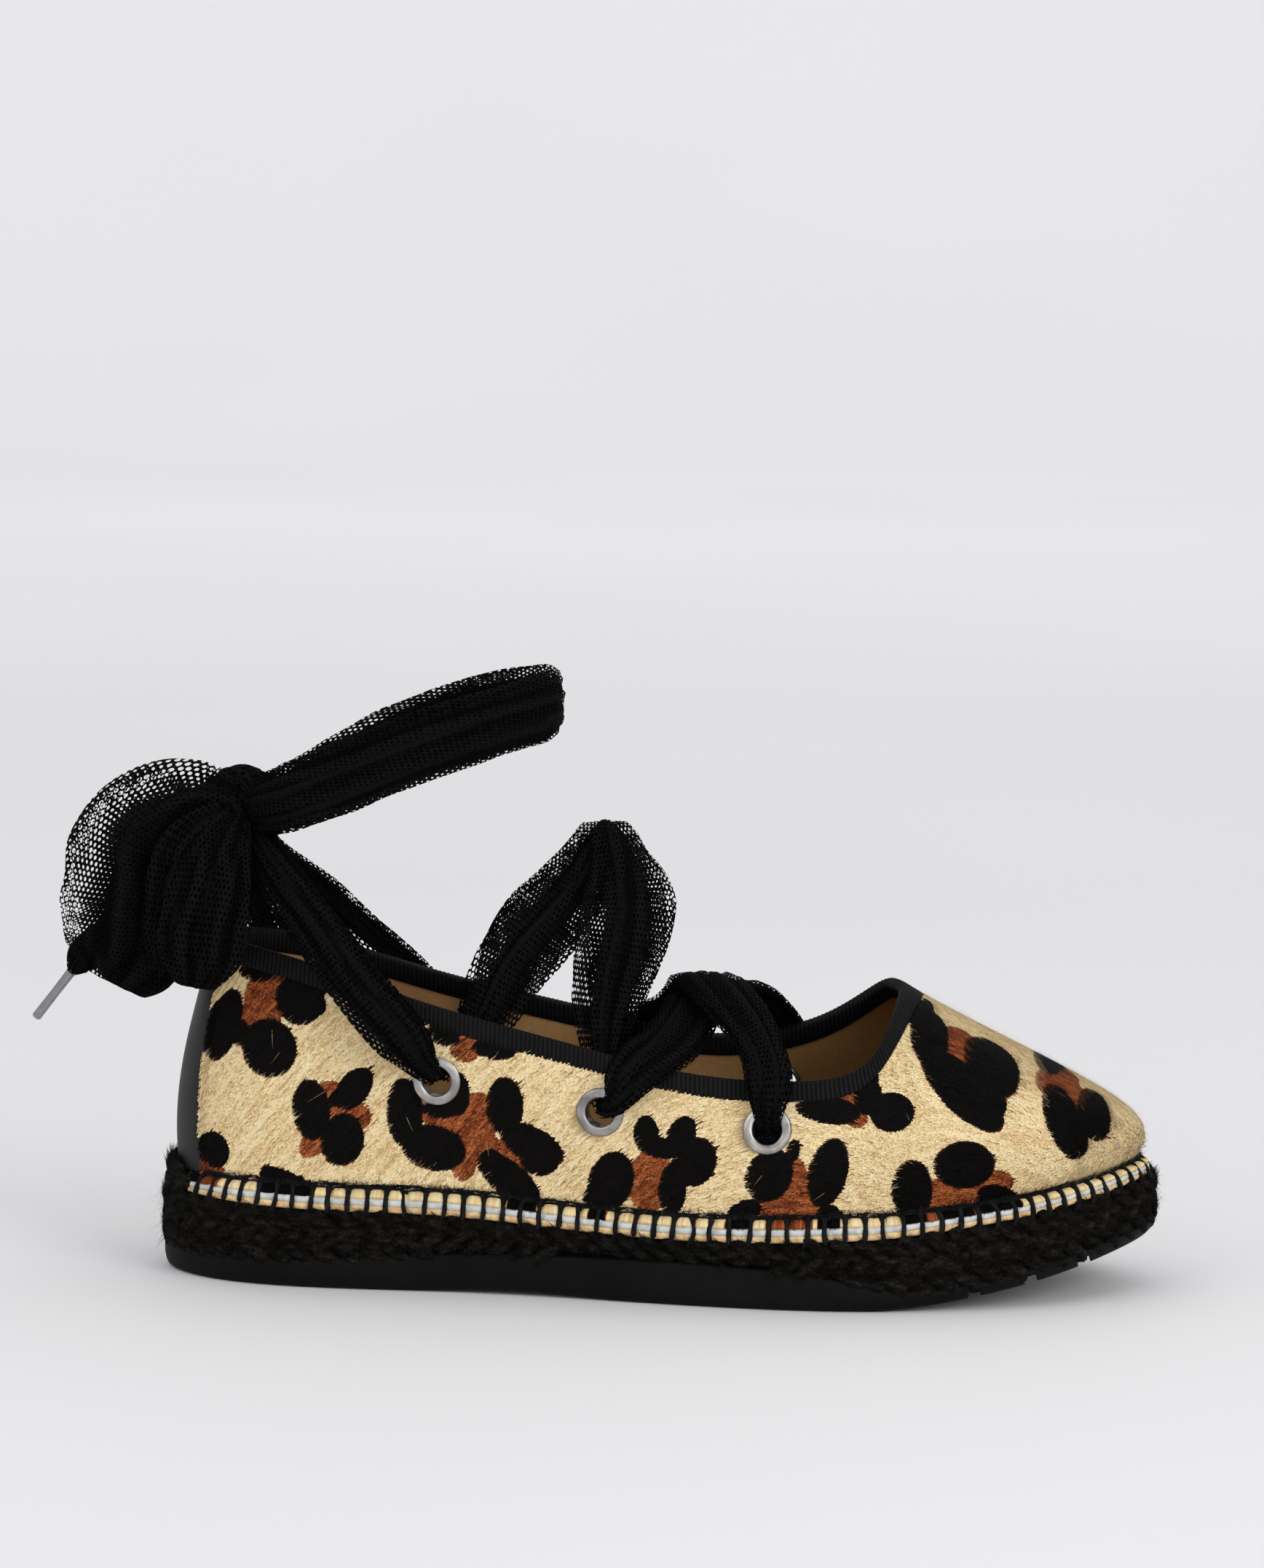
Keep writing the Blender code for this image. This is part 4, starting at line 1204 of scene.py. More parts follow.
def spindles(name, centres, alongs, outs, halves, thicks, finish, slot, seed):
    """Twisted strands, each with a centre, a direction, an outward side and its sizes."""
    count = len(centres)
    chance = np.random.default_rng(seed)
    along = np.linspace(-1, 1, SPINDLE_RINGS)
    angle = np.linspace(0, 2 * pi, SPINDLE_SIDES, endpoint=False)
    up_side = unit(np.cross(outs, alongs))
    body = (1 - np.abs(along) ** 2.6) ** 0.55 * 0.93 + 0.07
    phase = chance.uniform(0, 2 * pi, count)
    phase, onward = phase[:, None, None], along[None, :, None]
    ply = 1 + 0.13 * np.sin(3 * angle[None, None] + TWIST * 2 * onward * pi / 2 + phase)
    ply = ply + 0.05 * np.sin(7 * angle[None, None] - 5 * onward + 3 * phase)
    radius = body[None, :, None] * ply
    bow = (1 - along**2)[None, :, None, None] * 0.5 * MM * outs[:, None, None]
    points = (
        centres[:, None, None]
        + alongs[:, None, None] * (along[None, :, None, None] * halves[:, None, None, None])
        + up_side[:, None, None] * (radius * np.cos(angle) * thicks[:, None, None])[..., None]
        + outs[:, None, None] * (radius * np.sin(angle) * STRAND_OUT)[..., None]
        + bow
    )
    each = SPINDLE_RINGS * SPINDLE_SIDES
    faces = many(grid(SPINDLE_RINGS, SPINDLE_SIDES, closed_columns=True), count, each)
    return piece(name, points.reshape(-1, 3), faces, finish, slot)


def slivers(name, roots, tips, flat, widths, finish, slot, uv=None, uv_name="weave", wide_tip=False):
    """Straight blades, one triangle each, pointed at the tip, or at the root if wide_tip. flat is the
    way each one's face looks."""
    side = unit(np.cross(tips - roots, flat)) * widths[:, None]
    wide, point = (tips, roots) if wide_tip else (roots, tips)
    points = np.stack([wide - side, wide + side, point], axis=1)
    faces = many(np.array([[0, 1, 2]]), len(roots), 3)
    if uv is not None:
        up_blade = np.array([1.0, 1.0, 0.0] if wide_tip else [0.0, 0.0, 1.0])
        uv = np.stack(np.broadcast_arrays(uv[:, None], up_blade), axis=-1).reshape(-1, 2)
    return piece(name, points.reshape(-1, 3), faces, finish, slot, uv=uv, uv_name=uv_name)


chance = np.random.default_rng(5)
centres, alongs, outs, halves, thicks = [], [], [], [], []
count = int(ROUND / JUTE_PITCH)
for row, (down, inset, lean_here, reach) in enumerate(BRAID_ROWS):
    u = (np.arange(count) + 0.5 * (row % 2)) * ROUND / count + chance.uniform(-0.3, 0.3, count) * MM
    flat, out, round_way = beside(u, inset * MM)
    depth_here = sole_height(flat[:, 0]) - sole_height(flat[:, 0], SOLE_RUBBER)
    squeeze = np.clip(depth_here / (13.5 * MM), 0.72, 1.0)
    z = sole_height(flat[:, 0]) - down * MM * squeeze
    lean = lean_here + chance.uniform(-0.08, 0.08, count)
    along = unit(round_way * np.cos(lean)[:, None] + UP * np.sin(lean)[:, None])
    shown = z > sole_height(flat[:, 0], SOLE_RUBBER) + 0.6 * MM
    shown &= np.abs(u - HEEL_BACK) < reach * MM
    centres.append(np.column_stack([flat, z])[shown])
    alongs.append(along[shown])
    outs.append(out[shown])
    halves.append((STRAND_HALF * chance.uniform(0.92, 1.08, count))[shown])
    thicks.append((STRAND_THICK * squeeze * chance.uniform(0.92, 1.06, count))[shown])
centres, alongs, outs, halves, thicks = (np.concatenate(a) for a in (centres, alongs, outs, halves, thicks))
spindles("jute_braid", centres, alongs, outs, halves, thicks, jute, "jute", 6)

FIBRES_EACH = 150
owner = np.repeat(np.arange(len(centres)), FIBRES_EACH)
count = len(owner)
ahead, out, half = alongs[owner], outs[owner], halves[owner][:, None]
up_side = np.cross(out, ahead)
place_on, angle = chance.uniform(-0.95, 0.6, (count, 1)), chance.uniform(0, pi, (count, 1))
swell = (1 - np.abs(place_on) ** 2.6) ** 0.55
root = centres[owner] + ahead * place_on * half + out * 0.5 * MM * (1 - place_on**2)
skin = up_side * np.cos(angle) * thicks[owner][:, None] + out * np.sin(angle) * STRAND_OUT
root = root + skin * swell
away = up_side * np.cos(angle) + out * np.sin(angle)
aim = ahead + up_side * chance.normal(0, 0.22, (count, 1)) + away * chance.uniform(-0.02, 0.22, (count, 1))
aim = unit(aim)
tip_at = root + aim * chance.uniform(1.8, 4.6, (count, 1)) * MM
slivers("jute_fibres", root, tip_at, away, chance.uniform(0.06, 0.15, count) * MM, jute, "jute")
print("jute strands:", len(centres), "and fibres:", count)

# %% [markdown]
# ## Loose fibres
# Jute is never smooth: short ends stand out of every strand and a few long ones
# curl away at the toe. Each fibre is a narrow bent ribbon of two faces and a
# point, which is cheap enough to have thousands.

# %% Jute fuzz
def blades(name, roots, middles, tips, widths, finish, slot):
    """Narrow pointed ribbons through root, middle and tip. widths is each one's half width."""
    bend = middles - roots + np.array([1e-7, 2e-7, 3e-7])  # so that a straight fibre has a width too
    side = unit(np.cross(tips - roots, bend)) * widths[:, None]
    points = [roots - side, roots + side, middles - side * 0.8, middles + side * 0.8, tips]
    faces = [many(np.array([corners]), len(roots), 5) for corners in ([0, 1, 3, 2], [2, 3, 4])]
    return piece(name, np.stack(points, axis=1).reshape(-1, 3), faces, finish, slot)


FUZZ = 9000
chance = np.random.default_rng(8)
u = chance.uniform(0, ROUND, FUZZ)
flat, out, round_way = beside(u, 0.6 * MM)
low, high = sole_height(flat[:, 0], SOLE_RUBBER) + 0.5 * MM, sole_height(flat[:, 0]) - 0.2 * MM
z = low + (high - low) * chance.uniform(0, 1, FUZZ)
roots = np.column_stack([flat, z])
swing = chance.normal(0, 1, (FUZZ, 2))
length = chance.gamma(2.2, 1.1, FUZZ) * MM
ahead = out * chance.uniform(0.1, 0.9, FUZZ)[:, None] + round_way * swing[:, :1] + 0.8 * UP * swing[:, 1:]
ahead = unit(ahead)
droop = np.column_stack([np.zeros((FUZZ, 2)), -chance.uniform(0, 0.35, FUZZ)])
middles = roots + ahead * length[:, None] * 0.55
tips = roots + unit(ahead + droop) * length[:, None]
for rows in (middles, tips):
    rows[:, 2] = np.maximum(rows[:, 2], 0.3 * MM)  # clear of the floor
blades("jute_fuzz", roots, middles, tips, np.full(FUZZ, 0.07 * MM), jute, "jute")
print("fibres:", FUZZ)

# %% [markdown]
# ## The spotted coat
# The leather keeps its short hair, printed with rosettes: broken black rings
# round a rust-coloured middle on straw. A spot is a handful of ellipses laid on
# the leather, each with a place, two half widths and a turn. Whatever lies in a
# black one is black, else in a rust one rust, and the rest is straw.

# %% Rosettes on the outer side
# x and z of the middle, half length, half width, and the turn from +X, in millimetres and degrees
BLACK_LATERAL = (
    (-108.3, 64, 9.5, 4.2, 70), (-104.4, 62.9, 3.5, 3.5, 0), (-96.1, 59.6, 7.2, 7.1, 90),
    (-88.5, 72, 6.3, 6.2, 0), (-84.5, 71, 3, 3, 0), (-99.5, 79, 5.5, 3.5, 0), (-90, 79, 6, 3.5, 0),
    (-85.1, 44.7, 7.6, 4.9, 95), (-74.4, 50.5, 6.3, 3.9, 52), (-78.5, 48.2, 3, 2, 45),
    (-77.3, 37.5, 6.8, 5.5, 75),
    (-61.5, 44.8, 8.7, 4.6, 92), (-54.2, 36.2, 8.2, 5.8, -10), (-48.4, 50, 5.6, 3.4, 90),
    (-52, 45.8, 5, 2.2, 0), (-36.2, 47.6, 7.2, 4.8, 90), (-29.3, 38.1, 8.5, 4.7, -25),
    (-27.4, 35.2, 5.3, 5, 0), (-35.2, 29, 9.4, 4.6, -38), (-39.5, 33, 3.6, 3.6, 0),
    (-110.6, 32.4, 4.7, 4.3, 90), (-110, 24, 2, 1.4, 0), (-90, 25.6, 8.7, 2.8, -24),
    (-95.5, 27.3, 3, 2.6, 0),
    (-52, 64.3, 4.5, 2.3, -15), (-39.2, 61.6, 5.6, 2.6, -5),
    (-9.3, 29.9, 7.8, 5.6, 70), (-12.5, 25, 3.5, 4, 70), (-0.5, 42.3, 4.7, 3.3, 90),
    (8.2, 42.7, 4.8, 3.4, 60), (11.5, 35.9, 6.5, 5.4, 60), (6.2, 28.8, 7, 3.6, 85), (3.6, 39, 5, 2.8, 0),
    (30.2, 33.3, 6.9, 5.6, 60), (36, 39.6, 2.9, 1.8, 80), (44.6, 34.3, 8.7, 4.8, 75),
    (24, 23.8, 4.8, 3, 30), (44.9, 23.9, 3.2, 2.8, 0),
    (44.4, 49.4, 7.9, 3.3, -5), (60, 49.3, 5.5, 4.6, 0), (54, 52.9, 4.5, 3.6, 90), (54.5, 57.3, 3, 2.2, 90),
    (68.3, 65.6, 7.2, 4.4, 110), (66, 70, 3.2, 3, 0), (77, 54, 13, 4.9, -42), (84.2, 50, 3.8, 3.5, 0),
    (83.9, 58.5, 8.3, 5, -45), (97.7, 57, 4.3, 1.9, -30), (102, 45.2, 9.3, 4, 115),
    (109.4, 45.8, 6, 3.9, 110), (104.8, 40, 3.8, 3.4, 90),
    (65.2, 30.3, 7.6, 5.1, 90), (77.9, 36.5, 7.4, 6, 0), (86.4, 27.2, 5.8, 3.8, -25), (77, 24.7, 5, 1.9, 0),
    (119.5, 31.5, 3.5, 1.6, 30),
)
RUST_LATERAL = (
    (-97, 72.4, 6.5, 4.3, 65), (-98.5, 67, 4, 2.5, 0), (-81.7, 39.7, 7.5, 2.3, 50), (-80, 49.4, 2.2, 1.6, 0),
    (-73.5, 43.5, 2.2, 2, 0), (-77, 44.2, 4, 1.8, 30), (-44.6, 43.8, 6.5, 5.2, 30), (-47, 40, 5, 7, 90),
    (-36.9, 35, 5.2, 1.6, -45), (-46.3, 33, 3.8, 1.7, 75), (-52.5, 43.5, 4, 1.8, -20),
    (-112.3, 27, 3.2, 1.8, 0),
    (-46.3, 62.2, 2.8, 2.6, 60), (0.6, 30.8, 7.2, 4, 80), (36, 31.8, 5, 2.6, 90), (34.9, 25.4, 6.5, 3.4, 0),
    (48, 53.7, 3.4, 2.2, 0), (51.6, 48, 1.2, 1.2, 0), (75.6, 61.7, 5.3, 3.4, 115), (80, 57, 3, 1.6, -45),
    (85.7, 52.9, 1.6, 1.3, 0), (100.5, 53.8, 4.5, 1.8, -10), (104, 49.3, 5, 1.9, 120),
    (75.5, 28.3, 7.6, 4.2, 0), (70.4, 22.8, 2.6, 1.7, 90), (85.7, 32.1, 3, 1.6, -10),
)

# %% [markdown]
# ## Rosettes on the inner side
# On the inner side each rosette is drawn by one rule: a ring of petals with a
# gap somewhere, round a rust middle, pulled long one way. Its place, size,
# stretch, turn, number of petals and first petal's angle are given one by one.

# %% Rosettes on the inner side
ROSETTES_MEDIAL = (  # x, z, size, stretch, turn, petals, first petal's angle
    (-99, 66, 9.5, 1.15, 70, 4, 30), (-74, 43, 9, 1.1, 20, 4, 100), (-104, 36, 6, 1.2, 80, 3, 200),
    (-47, 58, 7.5, 1.25, -10, 4, 180), (-42, 33, 9.5, 1.2, 15, 5, 60), (-18, 45, 7, 1.1, 80, 3, 300),
    (-8, 27, 7.5, 1.2, -20, 4, 140), (14, 41, 8.5, 1.15, 60, 4, 20), (38, 29, 8.5, 1.25, 10, 4, 220),
    (48, 49, 6.5, 1.3, -25, 3, 90), (66, 36, 8, 1.15, 80, 5, 10), (76, 58, 9, 1.3, -40, 4, 150),
    (88, 32, 7, 1.25, -10, 4, 250), (98, 49, 8, 1.25, -50, 4, 60), (112, 33, 5, 1.1, 20, 3, 0),
)


def rosette(x, z, size, stretch, turn, petals, first):
    black = []
    for number in range(petals):
        angle = np.radians(first + number * 300 / petals)
        out = np.array([np.cos(angle) * stretch, np.sin(angle)]) * size * 0.72
        lean = np.radians(turn)
        east = out[0] * np.cos(lean) - out[1] * np.sin(lean)
        north = out[0] * np.sin(lean) + out[1] * np.cos(lean)
        long = size * (0.62 if number % 2 else 0.5)
        black.append((x + east, z + north, long, size * 0.4, np.degrees(angle) + turn + 90))
    return black, [(x, z, size * 0.75 * stretch, size * 0.6, turn)]


BLACK_MEDIAL, RUST_MEDIAL = [], []
for row in ROSETTES_MEDIAL:
    black, rust = rosette(*row)
    BLACK_MEDIAL += black
    RUST_MEDIAL += rust


def laid_out(spots, side, grow):
    """Each spot's x, z and y on the leather, and its two half widths as directions in x and z."""
    rows = []
    for x, z, long, wide, turn in spots:
        angle = np.radians(turn)
        first = np.array([np.cos(angle), np.sin(angle)]) / ((long + grow) * MM)
        second = np.array([-np.sin(angle), np.cos(angle)]) / ((wide + grow) * MM)
        rows.append((x * MM, z * MM, on_upper(x * MM, z * MM, side)[0][1], *first, *second))
    return np.array(rows)


GROW_BLACK, GROW_RUST = -0.2, 1.4  # in mm: black is a little smaller than charted, and rust runs under it
CHARTS = {
    side: (laid_out(black, side, GROW_BLACK), laid_out(rust, side, GROW_RUST))
    for side, black, rust in ((-1, BLACK_LATERAL, RUST_LATERAL), (1, BLACK_MEDIAL, RUST_MEDIAL))
}
FREE_ACROSS, FADE_ACROSS = 4 * MM, 11 * MM  # how far a spot runs across the foot before it rounds off


def inside_any(points, side, chart, reach=1.0):
    found = np.zeros(len(points), bool)
    for x, z, y, first_x, first_z, second_x, second_z in chart:
        east, north = points[:, 0] - x, points[:, 2] - z
        across = np.maximum(0, side * (y - points[:, 1]) - FREE_ACROSS) / FADE_ACROSS
        first, second = east * first_x + north * first_z, east * second_x + north * second_z
        found |= first**2 + second**2 + across**2 < reach**2
    return found


def coat(points):
    """0 for straw, 1 for rust, 2 for black and 3 for the brown rim of a black spot at each point."""
    kind = np.zeros(len(points))
    for value, number, reach in ((1.0, 1, 1.0), (3.0, 0, 1.05), (2.0, 0, 1.0)):
        for side, charts in CHARTS.items():
            kind[inside_any(points, side, charts[number], reach)] = value
    return kind


SHADES = ((0.03, 0.30), (0.37, 0.60), (0.77, 1.0), (0.56, 0.72))  # each colour's stretch of the palette


def palette(kind, chance, shared=0.5):
    """A place along the palette for each kind, moved within that colour's stretch by chance and by shared."""
    low, high = np.array(SHADES)[kind.astype(int)].T
    place_on = 0.5 + chance.normal(0, 0.17, len(kind)) + 0.8 * (shared - 0.5)
    return low + (high - low) * np.clip(place_on, 0, 1)


print("petals on the inner side:", len(BLACK_MEDIAL))

# %% [markdown]
# ## The leather under the hair
# The outer face is a fine net on the last, opened at the six eyelets. It is
# seen only between hairs, so it has the same colours with painted shade, in
# random streaks, for the hair over it. The lining is every second column of
# that net, pulled in by the wall's thickness and brought down past the insole's
# top. The lining and the insole carry painted shade that makes them a darker
# brown towards the toe.

# %% Outer face and lining
COAT_STOPS = (
    (0.00, srgb(255, 242, 204)), (0.15, srgb(247, 222, 168)), (0.31, srgb(204, 166, 112)),
    (0.36, srgb(196, 114, 64)), (0.48, srgb(136, 68, 36)), (0.60, srgb(64, 29, 14)),
    (0.72, srgb(34, 20, 14)), (0.78, srgb(12, 9, 8)), (1.00, srgb(4, 4, 3)),
)


def skin_paint(new):
    shade = new.node("Attribute", {"attribute_name": "coat"}, out=2)
    strands = noise(new, 500, 4.0, place(new, (0.35, 1, 1)))
    # Painted shade from the hair over the face: darker in random streaks.
    dark = (strands * 0.5 + 0.5).ramp((0, (0.4, 0.4, 0.4, 1)), (1, (1, 1, 1, 1)))
    return {"Base Color": shade.ramp(*COAT_STOPS).tinted(dark), "Normal": bump(new, strands, 0.0003)}


def lining_paint(new):
    nap = noise(new, 900, 5.0)
    cloud = noise(new, 25, 3.0)
    shade = (cloud * 0.7 + nap * 0.3).ramp((0.3, srgb(160, 122, 78)), (0.7, srgb(192, 152, 104)))
    forward = new.node("SeparateXYZ", None, {"Vector": place(new)})
    # Painted shade: the suede is darker towards the toe, deep inside the shoe.
    deep = forward.between(-0.01, 0.06).ramp((0, (1, 1, 1, 1)), (1, (0.42, 0.34, 0.23, 1)))
    return {"Base Color": shade.tinted(deep), "Normal": bump(new, nap, 0.00015)}


hide = material("spotted_hide", skin_paint, Roughness=0.9, Specular_IOR_Level=0.05)
suede = material("suede_lining", lining_paint, Roughness=0.9, Specular_IOR_Level=0.1)
HOLE_RADIUS, HOLE_REACH = 4.4 * MM, 8 * MM  # and how far from the leather a point still belongs to it


def punched(points, faces):
    """Opens round holes at the eyelets: points inside one move out to its edge, and faces inside go."""
    points, inside = points.copy(), np.zeros(len(points), bool)
    for centre, normal in HOLES.values():
        off = points - centre
        deep = off @ normal
        flat = off - deep[:, None] * normal
        far = np.linalg.norm(flat, axis=1)
        near = (far < HOLE_RADIUS) & (np.abs(deep) < HOLE_REACH)
        points[near] += flat[near] * (HOLE_RADIUS / np.maximum(far[near], 1e-6) - 1)[:, None]
        inside |= near
    return points, faces[~inside[faces].all(axis=1)]


UP_WALL = np.linspace(0, 1, 61)
face_points = upper_surface(LOOP[None, :], UP_WALL[:, None])
face_normals, _ = upper_frame(LOOP[None, :], UP_WALL[:, None])
chance = np.random.default_rng(12)
wall_faces = grid(len(UP_WALL), AROUND, closed_columns=True)[:, ::-1]
outer_points, outer_faces = punched(face_points.reshape(-1, 3), wall_faces)
kinds = coat(face_points.reshape(-1, 3))
piece(
    "hide_outer", outer_points, outer_faces, hide, "hair_on_leather", ["upper"],
    values={"coat": palette(kinds, chance)},
)
inner = (face_points - face_normals * WALL)[:, ::2]  # plainer than the face, so half as many columns do
foot = inner[:1].copy()
foot[0, :, 2] = sole_height(foot[0, :, 0]) + GAP + 1.5 * MM  # the lining runs down past the insole's top
inner = np.concatenate([foot, inner])
inner_faces = grid(*inner.shape[:2], closed_columns=True)
inner_points, inner_faces = punched(inner.reshape(-1, 3), inner_faces)
piece("suede_inside", inner_points, inner_faces, suede, "lining")

INSOLE_INSET = CREASE_INSET + WALL - 0.2 * MM
insole_rings = [
    ring_at(INSOLE_INSET, lambda x: sole_height(x) + GAP),
    ring_at(INSOLE_INSET, lambda x: sole_height(x) + GAP + 1.9 * MM),
    ring_at(INSOLE_INSET + 0.8 * MM, lambda x: sole_height(x) + GAP + 2.2 * MM),
    ring_at(INSOLE_INSET + 3 * MM, lambda x: sole_height(x) + GAP + 2.0 * MM),
]
piece(
    "suede_insole",
    np.concatenate(insole_rings),
    [grid(4, AROUND, closed_columns=True)[:, ::-1], strips, strips[:, ::-1] + 3 * AROUND],
    suede,
    "lining",
    ["insole"],
)
print("black share of the coat:", round(float((kinds == 2).mean()), 2))

# %% [markdown]
# ## The hair
# Each hair is a narrow blade that leaves the skin and lifts a little at its tip,
# so that hairs lie over each other like shingles and only their ends show. Its
# root and tip are both read from the leather's own surface, so hair follows
# every curve. It points to the heel and down at the back, and straight back
# over the toe. A hair has one colour, taken near its tip, with painted shade
# that darkens it towards its root, under the hairs that lie over it. The colour
# is a place in a palette laid out in a UV map, and hairs in the same narrow
# streak share part of it.

# %% Hair
HAIRS = 300000
HAIR_LENGTH = (3.0 * MM, 4.4 * MM)
STREAK_WIDE, STREAK_LONG = 0.34 * MM, 7 * MM
TURN_AT = ((-126, -50, 0, 35, 70, 126), (47, 45, 33, 14, -5, -8))  # x in mm, degrees below level
SWIRL_AT, SWIRL_REACH, SWIRL_TURN = 57, 9, 32  # x and reach in mm, and degrees
BARE_AT_HOLE, BARE_FOR_TIPS = 5.0 * MM, 5.6 * MM  # hairless round an eyelet, at roots and at tips
BARE_UNDER_TAPE = 5.1 * MM


def hair_paint(new):
    spot = new.node("SeparateXYZ", None, {0: new.node("UVMap", {"uv_map": "OFBake"})})
    # Painted shade: light darkens each hair towards its root, under the hairs over it.
    greys = ((0, 0.6), (0.75, 0.74), (1, 1))
    light = spot.output(1).ramp(*((at, (grey, grey, grey, 1)) for at, grey in greys))
    return {"Base Color": spot.ramp(*COAT_STOPS).tinted(light)}


hair_finish = material("coat_hair", hair_paint, Roughness=0.65, Specular_IOR_Level=0.06)


def sample_leather(count, chance, high=0.94):
    """Random places on the leather, as many on every square millimetre."""
    rows = NET_T <= high
    du = np.linalg.norm(np.roll(NET, -1, axis=1) - NET, axis=2)
    dt = np.linalg.norm(np.gradient(NET, axis=0), axis=2)
    area = (du * dt)[rows]
    cell = chance.choice(area.size, count, p=(area / area.sum()).ravel())
    row, column = np.unravel_index(cell, area.shape)
    u = NET_U[column] + chance.uniform(-0.5, 0.5, count) * MM
    t = np.clip(NET_T[rows][row] + chance.uniform(-0.5, 0.5, count) / 60, 0, high)
    return u, t


def combed(u, t, length, turn):
    """Where a hair rooted at u, t reaches when it lies along the leather, turned by some degrees."""
    root = upper_surface(u, t)
    normal, _ = upper_frame(u, t)
    below = np.radians(np.interp(root[:, 0] / MM, *TURN_AT) + turn)
    ahead = np.column_stack([-np.cos(below), np.zeros(len(u)), -np.sin(below)])
    ahead = unit(ahead - normal * (ahead * normal).sum(axis=1)[:, None])
    by_u = (upper_surface(u + SMALL, t) - root) / SMALL
    by_t = (upper_surface(u, t + 0.002) - root) / 0.002
    uu, ut, tt = ((a * b).sum(axis=1) for a, b in ((by_u, by_u), (by_u, by_t), (by_t, by_t)))
    au, at = (ahead * by_u).sum(axis=1) * length, (ahead * by_t).sum(axis=1) * length
    spread = uu * tt - ut * ut
    return root, normal, (au * tt - at * ut) / spread, (at * uu - au * ut) / spread


def strip_half(t):
    """Half width of the heel strip, measured round the outline."""
    return (20.0 - 3.0 * np.clip(t, 0, 1)) * MM


def streaks(root, below):
    """A number from 0 to 1 that neighbouring hairs share, in narrow patches that lie as the hair does."""
    high = root[:, 2] - np.abs(root[:, 1])
    row = np.floor((root[:, 0] * np.sin(below) - high * np.cos(below)) / STREAK_WIDE)
    along = (root[:, 0] * np.cos(below) + high * np.sin(below)) / STREAK_LONG
    patch = np.floor(along + row * 0.618)
    return np.abs(np.sin(row * 12.9898 + patch * 78.233) * 43758.5453) % 1


def hair(name, count, seed, turn_spread, lift, length, kind=None, width=0.11, where=None, wide_tip=False):
    """Combed hair over the leather. kind is its colour where the coat's own isn't meant, and where
    picks out the roots to keep, from their places."""
    chance = np.random.default_rng(seed)
    u, t = sample_leather(count, chance)
    root = upper_surface(u, t)
    if where is not None:
        kept = where(root)
        u, t, root = u[kept], t[kept], root[kept]
    x = root[:, 0] / MM
    swirl = SWIRL_TURN * np.sin(x / 9.0 + u / (7 * MM)) * np.exp(-(((x - SWIRL_AT) / SWIRL_REACH) ** 2))
    drift = 3 * np.sin(u / (23 * MM) + 3 * t) + swirl
    scatter = root + chance.normal(0, 0.06, root.shape) * MM
    shared = streaks(scatter, np.radians(np.interp(x, *TURN_AT) + drift))
    long = chance.uniform(*length, len(u))
    turn = chance.normal(0, turn_spread, len(u)) + drift + 9 * (shared - 0.5)
    root, normal, du, dt = combed(u, t, long, turn)
    tip = upper_surface(u + du, t + dt)
    kinds = coat(upper_surface(u + du * 0.92, t + dt * 0.92)) if kind is None else np.full(len(u), kind)
    from_strip = np.abs(u - HEEL_BACK) - strip_half(t)
    keep = (from_strip > -1.0 * MM) & (np.abs(u + du - HEEL_BACK) - strip_half(t + dt) > -1.3 * MM)
    keep &= np.linalg.norm(tip - upper_surface(u + du, 1.0), axis=1) > BARE_UNDER_TAPE
    for centre, _ in HOLES.values():
        keep &= np.linalg.norm(root - centre, axis=1) > BARE_AT_HOLE
        keep &= np.linalg.norm(tip - centre, axis=1) > BARE_FOR_TIPS
    near_strip = np.exp(-((from_strip / (2.2 * MM)) ** 2))[:, None]
    tips = tip + normal * (lift * chance.uniform(0.9, 1.12, len(u))[:, None] + near_strip * 1.2 * MM)
    roots = root + normal * (0.05 + 0.5 * near_strip) * MM
    widths = chance.uniform(0.8, 1.25, len(u)) * width * MM
    slivers(
        name, roots[keep], tips[keep], normal[keep], widths[keep],
        hair_finish, "hair_on_leather", palette(kinds, chance, shared)[keep], "OFBake", wide_tip,
    )
    return int(keep.sum())


def at_toe(root):
    return (root[:, 0] > 106 * MM) & (root[:, 2] < 48 * MM)


def toe_tip(root):
    return (root[:, 0] > 118 * MM) & (root[:, 2] < 37 * MM)


def over_toe(root):
    return (root[:, 0] > 60 * MM) & (np.abs(root[:, 1]) < 22 * MM)


half_count = HAIRS // 2
made = [
    hair("coat_hair_one", half_count, 21, 4, 0.60 * MM, HAIR_LENGTH, width=0.116, wide_tip=True),
    hair("coat_hair_two", half_count, 22, 4, 0.62 * MM, HAIR_LENGTH, width=0.116, wide_tip=True),
    hair("standing_hair", 4000, 25, 14, 1.1 * MM, (3.2 * MM, 4.6 * MM), None, 0.06),
    hair("stray_hair", 70, 23, 50, 1.2 * MM, (5 * MM, 9 * MM), 0, 0.05),
    hair("toe_hair", 50000, 26, 24, 1.5 * MM, (2.6 * MM, 4.4 * MM), None, 0.09, at_toe),
    hair("toe_hair_dark", 60000, 28, 45, 2.1 * MM, (2.4 * MM, 4.4 * MM), 2, 0.06, toe_tip),
    hair("ridge_hair", 40000, 27, 20, 1.8 * MM, (3.0 * MM, 5.0 * MM), None, 0.05, over_toe),
]
print("hairs:", made)

# %% [markdown]
# ## The stitched edge
# Below the chain stitch the leather turns out over a white board and is sewn to
# the jute with black blanket stitch. Between two stitches the hair-covered edge
# puffs out like a little pillow; at a stitch it is pulled in. So every row of
# this edge is a curve round the sole, moved by one pinch that comes back at
# each stitch.

